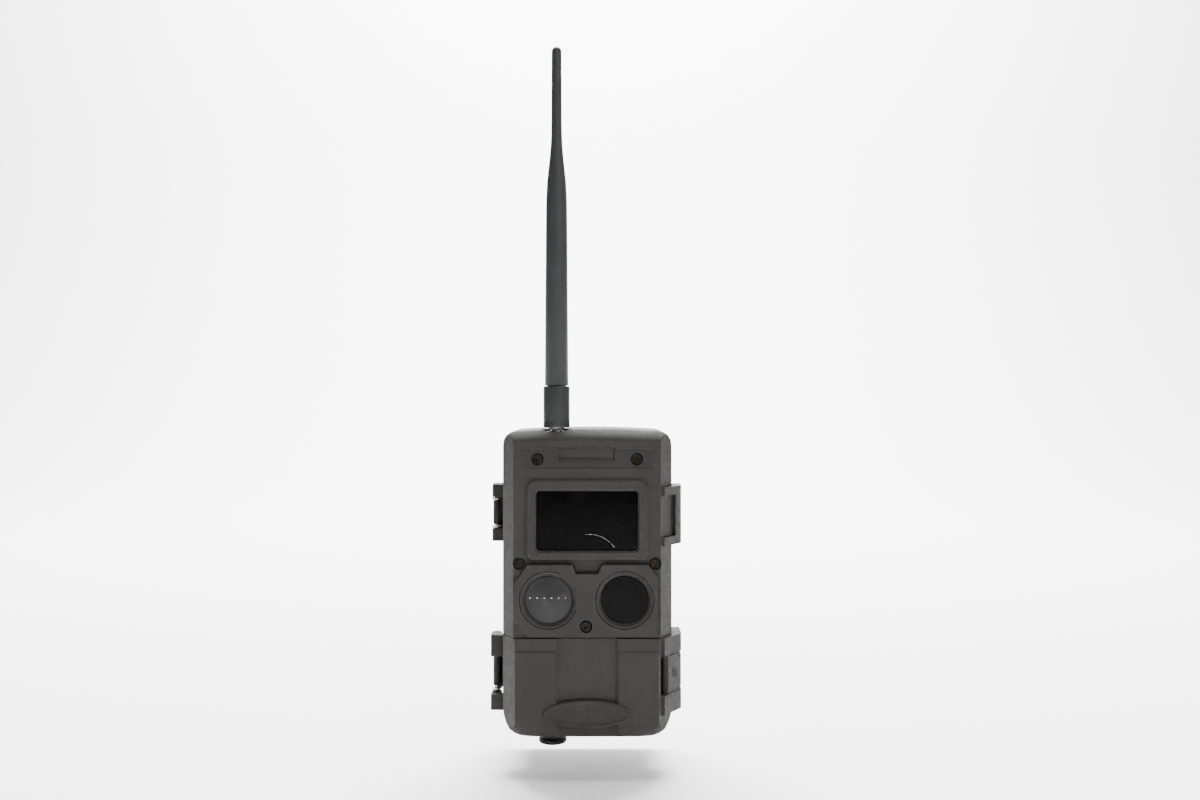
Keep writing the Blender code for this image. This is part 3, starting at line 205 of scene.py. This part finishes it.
# ---------------------------------------------------------------- materials
def moulded_plastic(name, colour, roughness, grain):
    """Moulded plastic: spark-eroded grain, slow colour drift and rubbed, slightly paler edges."""
    surface = Surface(name, colour, roughness)
    surface.shader.inputs["Specular IOR Level"].default_value = 0.10
    lighter = tuple(value * 1.35 + 0.006 for value in colour)
    darker = tuple(value * 0.90 for value in colour)
    drift = surface.noise(28.0, 4.0)
    cloudy = surface.mix_colour(surface.spread(drift, 0.0, 1.0, 0.40, 0.60), darker, colour)
    speckle = surface.spread(surface.noise(2600.0, 2.0), 0.0, 0.16, 0.45, 0.72)
    grained = surface.mix_colour(speckle, cloudy, lighter)
    rubbed = times(surface, surface.edges(0.0005), surface.spread(surface.noise(160.0, 3.0), 0.10, 0.75))
    surface.colour(surface.mix_colour(rubbed, grained, lighter))
    surface.roughness(surface.spread(surface.noise(420.0, 3.0), roughness - 0.06, roughness + 0.07))
    surface.bump(surface.noise(2200.0, 3.0), 0.00006 * grain, 0.55)
    surface.bump(surface.noise(120.0, 2.0), 0.00025, 0.10)
    return surface.material


def rubber(name):
    """Matt black rubber with a little dust in its grain."""
    surface = Surface(name, RUBBER_COLOUR, 0.72)
    surface.shader.inputs["Specular IOR Level"].default_value = 0.42
    dust = surface.spread(surface.noise(340.0, 5.0), 0.0, 0.30, 0.48, 0.75)
    surface.colour(surface.mix_colour(dust, RUBBER_COLOUR, (0.040, 0.039, 0.037)))
    surface.roughness(surface.spread(surface.noise(600.0, 2.0), 0.62, 0.84))
    surface.bump(surface.noise(1500.0, 4.0), 0.00005, 0.5)
    return surface.material


def black_glass(name):
    """Glossy infrared-passing plastic, nearly black, with a faint film of handling marks."""
    surface = Surface(name, (0.0016, 0.0015, 0.0017), 0.08)
    surface.shader.inputs["IOR"].default_value = 1.49
    surface.shader.inputs["Specular IOR Level"].default_value = 0.06
    surface.roughness(surface.spread(surface.noise(140.0, 4.0), 0.05, 0.16))
    film = surface.noise(60.0, 2.0)
    surface.colour(surface.mix_colour(film, (0.0012, 0.0011, 0.0013), (0.0022, 0.0020, 0.0022)))
    surface.bump(surface.noise(45.0, 1.0), 0.00010, 0.03)
    return surface.material


def fresnel_plastic(name):
    """The hazy grey plastic of the motion sensor's lens."""
    surface = Surface(name, (0.021, 0.0205, 0.0213), 0.48)
    surface.shader.inputs["Specular IOR Level"].default_value = 0.16
    haze = surface.spread(surface.noise(90.0, 3.0), 0.0, 1.0)
    surface.colour(surface.mix_colour(haze, (0.018, 0.0176, 0.0185), (0.024, 0.0236, 0.0243)))
    surface.roughness(surface.spread(surface.noise(300.0, 3.0), 0.34, 0.48))
    surface.bump(surface.noise(900.0, 2.0), 0.00003, 0.4)
    return surface.material


def metal(name, colour, dark, roughness, streak):
    """Turned or drawn metal with fine streaks and tarnish in patches."""
    surface = Surface(name, colour, roughness, 1.0)
    tarnish = surface.spread(surface.noise(420.0, 5.0), 0.0, 0.8, 0.42, 0.66)
    surface.colour(surface.mix_colour(tarnish, colour, dark))
    lines = surface.noise(900.0, 3.0, (1.0, 1.0, streak))
    surface.roughness(surface.spread(lines, roughness - 0.07, roughness + 0.12))
    surface.bump(lines, 0.00002, 0.35)
    return surface.material


def circuit_board(name):
    """Green board with a fine pattern of lighter tracks."""
    surface = Surface(name, BOARD_COLOUR, 0.42)
    tracks = surface.nodes.new("ShaderNodeTexBrick")
    tracks.inputs["Scale"].default_value = 240.0
    tracks.inputs["Mortar Size"].default_value = 0.035
    tracks.inputs["Color1"].default_value = (*BOARD_COLOUR, 1.0)
    tracks.inputs["Color2"].default_value = (0.012, 0.088, 0.034, 1.0)
    tracks.inputs["Mortar"].default_value = (0.030, 0.140, 0.055, 1.0)
    swap = surface.nodes.new("ShaderNodeMapping")
    swap.inputs["Rotation"].default_value = (math.pi / 2, 0.0, 0.0)
    surface.links.new(surface.coordinates, swap.inputs["Vector"])
    surface.links.new(swap.outputs["Vector"], tracks.inputs["Vector"])
    surface.colour(tracks.outputs["Color"])
    surface.roughness(surface.spread(surface.noise(500.0, 2.0), 0.36, 0.50))
    surface.bump(tracks.outputs["Fac"], 0.00004, 0.4)
    return surface.material


def cell_sleeve(name, copper_low_x, copper_high_x):
    """A battery's plain sleeve: black with a copper end between two X positions."""
    surface = Surface(name, SLEEVE_COLOUR, 0.26)
    split = surface.nodes.new("ShaderNodeSeparateXYZ")
    surface.links.new(surface.coordinates, split.inputs["Vector"])
    inside = surface.nodes.new("ShaderNodeMath")
    inside.operation = 'COMPARE'
    inside.inputs[1].default_value = (copper_low_x + copper_high_x) / 2
    inside.inputs[2].default_value = abs(copper_high_x - copper_low_x) / 2
    surface.links.new(split.outputs["X"], inside.inputs[0])
    surface.colour(surface.mix_colour(inside.outputs["Value"], SLEEVE_COLOUR, COPPER_COLOUR))
    surface.roughness(surface.spread(surface.noise(220.0, 3.0), 0.20, 0.34))
    surface.bump(surface.noise(130.0, 2.0), 0.00010, 0.12)
    return surface.material


materials = {
    "case": moulded_plastic("case_plastic", CASE_COLOUR, 0.58, 1.0),
    "antenna": moulded_plastic("antenna_plastic", ANTENNA_COLOUR, 0.44, 0.4),
    "black_plastic": moulded_plastic("black_plastic", BLACK_COLOUR, 0.48, 0.7),
    "black_glass": black_glass("black_glass"),
    "fresnel": fresnel_plastic("fresnel_plastic"),
    "rubber": rubber("rubber"),
    "steel": metal("steel", (0.56, 0.56, 0.57), (0.36, 0.35, 0.34), 0.27, 0.2),
    "dark_brass": metal("dark_brass", (0.026, 0.021, 0.015), (0.011, 0.0095, 0.008), 0.46, 1.0),
    "circuit_board": circuit_board("circuit_board"),
    "cell": cell_sleeve("cell_sleeve", 0.0, 0.001),
}


# ---------------------------------------------------------------- mesh helpers
def link(obj):
    bpy.context.scene.collection.objects.link(obj)
    return obj


def dress(obj, slot, body):
    """Give a new piece its slot's material and the body it moves with."""
    obj.data.materials.clear()
    obj.data.materials.append(materials[slot])
    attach(obj, body)
    return obj


def smooth(obj, angle=32.0):
    obj.data.shade_smooth()
    obj.data.set_sharp_from_angle(angle=math.radians(angle))


def as_object(name, bm):
    """A linked object made from an edit mesh, which is freed."""
    mesh = bpy.data.meshes.new(name)
    bm.to_mesh(mesh)
    bm.free()
    return link(bpy.data.objects.new(name, mesh))


def skin(bm, rings, steps):
    """Faces from each ring of vertices to the next. A ring of one vertex is a tip."""
    for one, two in zip(rings, rings[1:]):
        for step in range(steps):
            after = (step + 1) % steps
            corners = [one[step % len(one)], one[after % len(one)],
                       two[after % len(two)], two[step % len(two)]]
            bm.faces.new(list(dict.fromkeys(corners)))


def refine(node, width, segments):
    """A fine copy of a CAD node: flat faces made whole, edges rounded, normals weighted."""
    bm = bmesh.new()
    bm.from_mesh(frame["nodes"][node].data)
    bmesh.ops.remove_doubles(bm, verts=bm.verts, dist=MERGE_DISTANCE)
    bmesh.ops.dissolve_limit(bm, angle_limit=math.radians(1.0), verts=bm.verts, edges=bm.edges)
    obj = as_object(node + "_fine", bm)
    bevel = obj.modifiers.new("edge_round", 'BEVEL')
    bevel.width = width
    bevel.segments = segments
    bevel.limit_method = 'ANGLE'
    bevel.angle_limit = math.radians(28.0)
    smooth(obj, 40.0)
    normals = obj.modifiers.new("flat_faces", 'WEIGHTED_NORMAL')
    normals.keep_sharp = True
    dress(obj, node_slot[node], node_body[node])
    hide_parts(node)


def turned(name, profile, centre, along, slot, body, steps=72):
    """A solid of revolution from (radius, distance) pairs. A profile that does not start on the
    axis closes on itself and makes a ring."""
    bm = bmesh.new()
    rings = []
    for radius, distance in profile:
        if radius < ON_AXIS:
            rings.append([bm.verts.new((0, 0, distance))])
            continue
        ring = []
        for step in range(steps):
            angle = 2 * math.pi * step / steps
            ring.append(bm.verts.new((radius * math.cos(angle), radius * math.sin(angle), distance)))
        rings.append(ring)
    if profile[0][0] > ON_AXIS:
        rings.append(rings[0])
    skin(bm, rings, steps)
    bmesh.ops.recalc_face_normals(bm, faces=bm.faces)
    obj = as_object(name, bm)
    if along == 'Y':
        obj.data.transform(Matrix.Rotation(math.radians(-90), 4, 'X'))
    obj.data.transform(Matrix.Translation(centre))
    smooth(obj)
    return dress(obj, slot, body)


def wire(name, points, radius, slot, body, cyclic=False):
    """A thin round bead along points, as a mesh."""
    curve = bpy.data.curves.new(name, 'CURVE')
    curve.dimensions = '3D'
    curve.bevel_depth = radius
    curve.bevel_resolution = 3
    curve.use_fill_caps = True
    spline = curve.splines.new('POLY')
    spline.points.add(len(points) - 1)
    for point, spot in zip(spline.points, points):
        point.co = (*spot, 1.0)
    spline.use_cyclic_u = cyclic
    holder = link(bpy.data.objects.new(name, curve))
    bpy.context.view_layer.update()
    evaluated = holder.evaluated_get(bpy.context.evaluated_depsgraph_get())
    mesh = bpy.data.meshes.new_from_object(evaluated)
    bpy.data.objects.remove(holder, do_unlink=True)
    bm = bmesh.new()
    bm.from_mesh(mesh)
    bmesh.ops.remove_doubles(bm, verts=bm.verts, dist=MERGE_DISTANCE)
    bm.to_mesh(mesh)
    bm.free()
    obj = link(bpy.data.objects.new(name, mesh))
    smooth(obj, 50.0)
    return dress(obj, slot, body)


def middle(node):
    """The centre of a node's box."""
    low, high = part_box(node)
    return (Vector(low) + Vector(high)) / 2


# ---------------------------------------------------------------- pieces
# CAD nodes that get a refined copy: the width of their edge rounding and its segments
FINE_PARTS = {
    "rear_housing": (0.00060, 3), "front_housing": (0.00045, 3), "lower_door": (0.00045, 3),
    "optics_plate": (0.00045, 3), "latch": (0.00040, 3), "door_gasket": (0.00015, 2),
    "housing_gasket": (0.00030, 2), "window_gasket": (0.00015, 2), "led_board": (0.00020, 2),
    "led_array": (0.00030, 2), "main_board": (0.00020, 2), "sensor_board": (0.00020, 2),
    "contact_plate_left": (0.00015, 2), "contact_plate_right": (0.00015, 2), "hinge_pin": (0.00030, 2),
    "roller_pin": (0.00030, 2), "latch_pin": (0.00020, 2), "pir_sensor": (0.00030, 2),
    "lens_barrel": (0.00030, 2), "power_jack": (0.00030, 2),
    "lens_window": (0.00030, 3),
    "flash_window": (0.00025, 2), "battery_tray": (0.00030, 2), "control_panel": (0.00025, 2),
    "card_socket": (0.00015, 2), "memory_card": (0.00020, 2), "power_switch": (0.00030, 3),
    "up_button": (0.00040, 3), "down_button": (0.00040, 3), "left_button": (0.00040, 3),
    "right_button": (0.00040, 3), "display": (0.00020, 2), "strap_roller": (0.00025, 2),
    "screw_1": (0.00022, 2), "screw_2": (0.00022, 2), "screw_3": (0.00022, 2), "screw_4": (0.00022, 2),
    "screw_5": (0.00022, 2), "hinge_clip_upper": (0.00015, 2), "hinge_clip_lower": (0.00015, 2),
    "roller_clip_upper": (0.00015, 2), "roller_clip_lower": (0.00015, 2), "tripod_insert": (0.00020, 2),
    "cellular_module": (0.00030, 2), "antenna_nut": (0.00020, 2),
}


def make_fine_parts():
    for node, (width, segments) in FINE_PARTS.items():
        refine(node, width, segments)


def make_antenna():
    """Whip, collar and knurled ferrule, turned with fine profiles from the CAD boxes."""
    centre = middle("antenna_whip")
    low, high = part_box("antenna_whip")
    foot, tip = low[2], high[2]
    collar_low, collar_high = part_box("antenna_collar")
    shoulder = collar_high[2] + 0.0003
    length = tip - shoulder
    thick = (high[0] - low[0]) / 2
    slim = thick * 0.42
    shares = [(0.000, 1.000), (0.525, 0.900), (0.565, 0.868), (0.600, 0.815), (0.637, 0.700), (0.670, 0.600),
              (0.705, 0.510), (0.740, 0.462), (0.780, 0.445), (0.985, 0.420)]
    profile = [(0.0, foot), (SPIGOT_RADIUS, foot), (SPIGOT_RADIUS, shoulder), (thick * 0.97, shoulder),
               (thick, shoulder + 0.0003)]
    profile += [(thick * share, shoulder + length * along) for along, share in shares[1:]]
    for step in range(1, 7):
        angle = math.radians(90 * step / 6)
        profile.append((slim * math.cos(angle), tip - slim + slim * math.sin(angle)))
    profile[-1] = (0.0, tip)
    whip = turned("antenna_whip_fine", profile, (centre.x, centre.y, 0), 'Z', "antenna",
                  node_body["antenna_whip"])
    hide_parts("antenna_whip")
    radius = (collar_high[0] - collar_low[0]) / 2
    top, bottom = collar_high[2], collar_low[2]
    bore = SPIGOT_RADIUS + 0.0002
    profile = [(0.0, top - SPIGOT_DEPTH), (bore, top - SPIGOT_DEPTH), (bore, top), (radius * 0.93, top),
               (radius * 0.975, top - 0.0002), (radius, top - 0.0007),
               (radius, bottom + 0.0034), (radius * 0.985, bottom + 0.0030), (radius, bottom + 0.0026),
               (radius, bottom + 0.0005), (radius * 0.96, bottom), (radius * 0.66, bottom),
               (radius * 0.66, bottom + 0.0044), (0.0, bottom + 0.0044)]
    collar = turned("antenna_collar_fine", profile, (centre.x, centre.y, 0), 'Z', "antenna",
                    node_body["antenna_collar"])
    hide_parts("antenna_collar")
    make_ferrule(centre)


def make_ferrule(centre):
    """The connector's knurled nut: a ring whose outside is pressed into flutes."""
    low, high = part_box("antenna_ferrule")
    outer = (high[0] - low[0]) / 2
    steps = FLUTES * 4
    bm = bmesh.new()
    levels = [(low[2], 0.93), (low[2] + 0.0003, 1.0), (high[2] - 0.0003, 1.0), (high[2], 0.93)]
    rings = []
    for height, share in levels:
        ring = []
        for step in range(steps):
            angle = 2 * math.pi * step / steps
            radius = outer * share - FLUTE_DEPTH * (1 - math.cos(FLUTES * angle)) / 2
            ring.append(bm.verts.new((radius * math.cos(angle), radius * math.sin(angle), height)))
        rings.append(ring)
    for height in (high[2], low[2]):
        ring = []
        for step in range(steps):
            angle = 2 * math.pi * step / steps
            x, y = FERRULE_BORE * math.cos(angle), FERRULE_BORE * math.sin(angle)
            ring.append(bm.verts.new((x, y, height)))
        rings.append(ring)
    rings.append(rings[0])
    skin(bm, rings, steps)
    bmesh.ops.recalc_face_normals(bm, faces=bm.faces)
    ferrule = as_object("antenna_ferrule_fine", bm)
    ferrule.data.transform(Matrix.Translation((centre.x, centre.y, 0)))
    smooth(ferrule, 40.0)
    dress(ferrule, "steel", node_body["antenna_ferrule"])
    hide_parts("antenna_ferrule")


def make_fresnel_lens():
    """The motion sensor's lens: a shallow dome with pressed rings, and in front of it a row of small bright
    steel dots that are painted highlights standing in for glints.
    """
    low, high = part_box("pir_lens")
    centre = middle("pir_lens")
    radius = (high[0] - low[0]) / 2
    back = high[1]
    front = low[1]
    profile = [(0.0, back), (radius, back), (radius, front + 0.00030), (radius - 0.0003, front + 0.00010)]
    for ring in range(LENS_RINGS):
        outside = (radius - 0.0005) * (1 - ring / LENS_RINGS)
        inside = (radius - 0.0005) * (1 - (ring + 0.75) / LENS_RINGS)
        profile += [(outside, front + 0.00002), (max(inside, 0.0004), front + 0.00010)]
    profile.append((0.0, front + 0.00002))
    lens = turned("pir_lens_fine", profile, (centre.x, 0, centre.z), 'Y', "fresnel",
                  node_body["pir_lens"], 96)
    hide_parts("pir_lens")
    # painted highlights: a row of bright steel dots on the lens face, standing in for glints
    for index in range(LENS_GLINT_DOTS):
        x = centre.x + GLINT_DOT_PITCH * (index - (LENS_GLINT_DOTS - 1) / 2) - 0.0003
        height = centre.z + 0.0009
        profile = [(0.0, front + 0.0002), (0.00042, front + 0.0002), (0.00040, front - 0.00002),
                   (0.00024, front - 0.00016), (0.0, front - 0.00020)]
        turned(f"pir_glint_dot_{index + 1}", profile, (x, 0, height), 'Y', "steel", "case", 16)


def make_port_rings():
    """The dished rings round both ports, with a rounded lip."""
    for node, glass in (("pir_ring", "pir_lens"), ("lens_ring", "lens_window")):
        low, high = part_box(node)
        glass_low, glass_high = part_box(glass)
        centre = middle(glass)
        front, back = low[1], high[1]
        outer = (high[2] - low[2]) / 2 + 0.0002
        inner = (glass_high[2] - glass_low[2]) / 2 + 0.0001
        profile = [(inner, back), (inner, front + 0.0018), (inner + 0.0004, front + 0.0014),
                   (outer - 0.0013, front + 0.0002), (outer - 0.0009, front), (outer - 0.0004, front),
                   (outer - 0.0001, front + 0.0002), (outer, front + 0.0005), (outer, back)]
        ring = turned(node + "_fine", profile, (centre.x, 0, centre.z), 'Y', "case", node_body[node], 96)
        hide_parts(node)


def make_badge():
    """The oval badge: a raised, rounded rim round a plain field with slanted bars."""
    low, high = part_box("badge_plate")
    centre = middle("badge_plate")
    half_width = (high[0] - low[0]) / 2
    half_height = (high[2] - low[2]) / 2
    face, back = low[1], high[1]
    # from the outside in: the inset from the plate's outline, and the depth
    rows = [(-0.00025, back), (-0.00025, face + 0.0005), (-0.0001, face + 0.0002),
            (0.0003, face - 0.0001), (0.0008, face - 0.0002), (0.0013, face - 0.0001),
            (0.0017, face + 0.0002), (0.0021, face + 0.0004), (0.0034, face + 0.0004),
            (0.0050, face + 0.0003)]
    bm = bmesh.new()
    rings = []
    for inset, y in rows:
        ring = []
        for step in range(BADGE_STEPS):
            angle = 2 * math.pi * step / BADGE_STEPS
            ring.append(bm.verts.new((centre.x + (half_width - inset) * math.cos(angle), y,
                                      centre.z + (half_height - inset) * math.sin(angle))))
        rings.append(ring)
    skin(bm, rings, BADGE_STEPS)
    bm.faces.new(rings[0])
    bm.faces.new(rings[-1])
    bmesh.ops.recalc_face_normals(bm, faces=bm.faces)
    badge = as_object("badge_plate_fine", bm)
    smooth(badge, 50.0)
    dress(badge, "case", node_body["badge_plate"])
    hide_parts("badge_plate")
    for index in range(BADGE_BARS):
        share = (index - (BADGE_BARS - 1) / 2) / ((BADGE_BARS - 1) / 2)
        x = centre.x + share * half_width * BAR_SPREAD
        reach = half_height * 0.36 * math.sqrt(1 - (BAR_SPREAD * share) ** 2)
        points = [(x - 0.35 * reach, face + 0.00038, centre.z - reach),
                  (x + 0.35 * reach, face + 0.00038, centre.z + reach)]
        wire(f"badge_bar_{index + 1}", points, BAR_RADIUS, "case", node_body["badge_plate"])


def make_latch_relief():
    """A small round grip mark on the latch's outer face: a ring with three short ridges."""
    low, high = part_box("latch")
    depth = high[1] - low[1]
    width = high[0] - low[0]
    # the face runs between these two places, as seen from above
    near = Vector((high[0] - 0.0050, low[1] + 0.0037, 0))
    far = Vector((high[0] - 0.0024, low[1] + 0.0075, 0))
    along = (far - near).normalized()
    outward = Vector((along.y, -along.x, 0))
    centre = (near + far) / 2 + outward * 0.00002
    centre.z = (low[2] + high[2]) / 2
    radius = depth * 0.085
    points = []
    for step in range(RING_STEPS):
        angle = 2 * math.pi * step / RING_STEPS
        up = Vector((0, 0, radius * math.sin(angle)))
        points.append(centre + along * (radius * math.cos(angle)) + up)
    wire("latch_ring", points, width * 0.020, "case", "latch", True)
    for index in (-1, 0, 1):
        height = Vector((0, 0, radius * 0.42 * index))
        reach = along * (radius * (0.62 if index == 0 else 0.45))
        ends = [centre + height - reach, centre + height + reach]
        wire(f"latch_ridge_{index + 2}", ends, width * 0.022, "case", "latch")


def make_window_arc():
    """A thin steel thread on the dark window's face, curved like the flash reflector's rim: a painted
    reflection.
    """
    low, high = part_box("flash_window")
    centre = middle("flash_window")
    face = low[1]
    width = high[0] - low[0]
    radius = width * 0.279
    points = []
    for step in range(ARC_STEPS):
        angle = math.radians(98 - 64 * step / (ARC_STEPS - 1))
        points.append((centre.x + width * 0.023 + radius * math.cos(angle), face + 0.00003,
                       low[2] - width * 0.102 + radius * math.sin(angle)))
    # painted reflection: a bright steel thread laid on the window's face
    wire("window_reflection_arc", points, 0.00008, "steel", "case")


def make_plug():
    """The rubber plug under the power socket, with a gripping rim."""
    low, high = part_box("socket_plug")
    centre = middle("socket_plug")
    radius = (high[0] - low[0]) / 2
    bottom, top = low[2], high[2]
    flange = bottom + 0.0027
    profile = [(0.0, top), (0.0032, top), (0.0035, top - 0.0004), (0.0036, flange + 0.0012),
               (0.0035, flange), (radius - 0.0008, flange), (radius - 0.0001, flange - 0.0004),
               (radius, flange - 0.0009), (radius - 0.00035, flange - 0.0013), (radius, flange - 0.0017),
               (radius - 0.0004, flange - 0.0022),
               (radius - 0.0014, bottom + 0.0001), (0.0040, bottom + 0.0001), (0.0037, bottom + 0.0004),
               (0.0, bottom + 0.0004)]
    plug = turned("socket_plug_fine", profile, (centre.x, centre.y, 0), 'Z', "rubber",
                  node_body["socket_plug"])
    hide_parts("socket_plug")


def finish_kept_nodes():
    """Every CAD node gets its slot's material, and each cell a sleeve of its own."""
    for node, obj in frame["nodes"].items():
        obj.data.materials.clear()
        obj.data.materials.append(materials[node_slot[node]])
        smooth(obj)
    for index in range(1, 5):
        node = f"battery_{index}"
        low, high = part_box(node)
        start = low[0] if index in TURNED_CELLS else high[0] - COPPER_LENGTH
        sleeve = cell_sleeve(node + "_sleeve", start, start + COPPER_LENGTH)
        frame["nodes"][node].data.materials[0] = sleeve


# ---------------------------------------------------------------- stage, lights and camera
def make_stage():
    """A pale floor that sweeps up behind the object."""
    floor_level = cad_bounds[0][2] - FLOOR_GAP
    profile = [(STAGE_FRONT, 0.0), (SWEEP_START, 0.0)]
    for step in range(1, SWEEP_STEPS + 1):
        angle = math.radians(90 * step / SWEEP_STEPS)
        profile.append((SWEEP_START + SWEEP_RADIUS * math.sin(angle), SWEEP_RADIUS * (1 - math.cos(angle))))
    profile.append((SWEEP_START + SWEEP_RADIUS, WALL_TOP))
    bm = bmesh.new()
    rows = []
    for x in (-STAGE_HALF_WIDTH, STAGE_HALF_WIDTH):
        rows.append([bm.verts.new((x, y, floor_level + z)) for y, z in profile])
    for index in range(len(profile) - 1):
        bm.faces.new((rows[0][index], rows[1][index], rows[1][index + 1], rows[0][index + 1]))
    floor = as_object("floor", bm)
    floor.data.shade_smooth()
    surface = Surface("floor_paper", (0.93, 0.93, 0.93), 0.85)
    surface.roughness(surface.spread(surface.noise(40.0, 2.0), 0.80, 0.90))
    floor.data.materials.append(surface.material)


def area_light(name, place, target, size, power):
    """A white rectangular lamp at a place, turned to face a target."""
    light = bpy.data.lights.new(name, 'AREA')
    light.shape = 'RECTANGLE'
    light.size, light.size_y = size
    light.energy = power
    obj = link(bpy.data.objects.new(name, light))
    obj.location = place
    obj.rotation_euler = (Vector(target) - Vector(place)).to_track_quat('-Z', 'Y').to_euler()


def make_lights():
    """A large key from the right, one lamp overhead, a weak fill, and two lamps for the backdrop."""
    aim = (0.0, -0.03, 0.05)
    area_light("key_right", (0.70, -1.15, 0.75), aim, (0.6, 0.9), 15.5)
    area_light("top", (0.10, -0.12, 1.45), aim, (0.6, 0.45), 15.0)
    area_light("fill_left", (-1.3, -1.2, 0.35), aim, (0.9, 1.2), 0.5)
    area_light("backdrop", (0.0, 0.70, 1.90), (0.0, 2.0, 0.3), (1.8, 0.5), 330.0)
    area_light("floor_back", (0.0, 0.85, 1.60), (0.0, 1.0, -0.1), (1.6, 0.5), 36.0)
    world = bpy.data.worlds.new("studio")
    world.use_nodes = True
    background = world.node_tree.nodes["Background"]
    background.inputs["Color"].default_value = (1.0, 1.0, 1.0, 1.0)
    background.inputs["Strength"].default_value = 0.06
    bpy.context.scene.world = world


def make_camera():
    """The camera stands level, straight in front, where the picture was taken from."""
    door_low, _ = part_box("lower_door")
    camera = bpy.data.cameras.new("view")
    camera.lens = CAMERA_LENS
    camera.sensor_width = SENSOR_WIDTH
    camera.clip_start = 0.01
    obj = link(bpy.data.objects.new("view", camera))
    obj.location = (CAMERA_SHIFT_RIGHT, door_low[1] - CAMERA_DISTANCE, door_low[2] + CAMERA_RISE)
    obj.rotation_euler = (math.radians(90), 0, 0)
    bpy.context.scene.camera = obj


finish_kept_nodes()
make_fine_parts()
make_antenna()
make_fresnel_lens()
make_port_rings()
make_badge()
make_latch_relief()
make_window_arc()
make_plug()
make_stage()
make_lights()
make_camera()

bpy.context.view_layer.update()
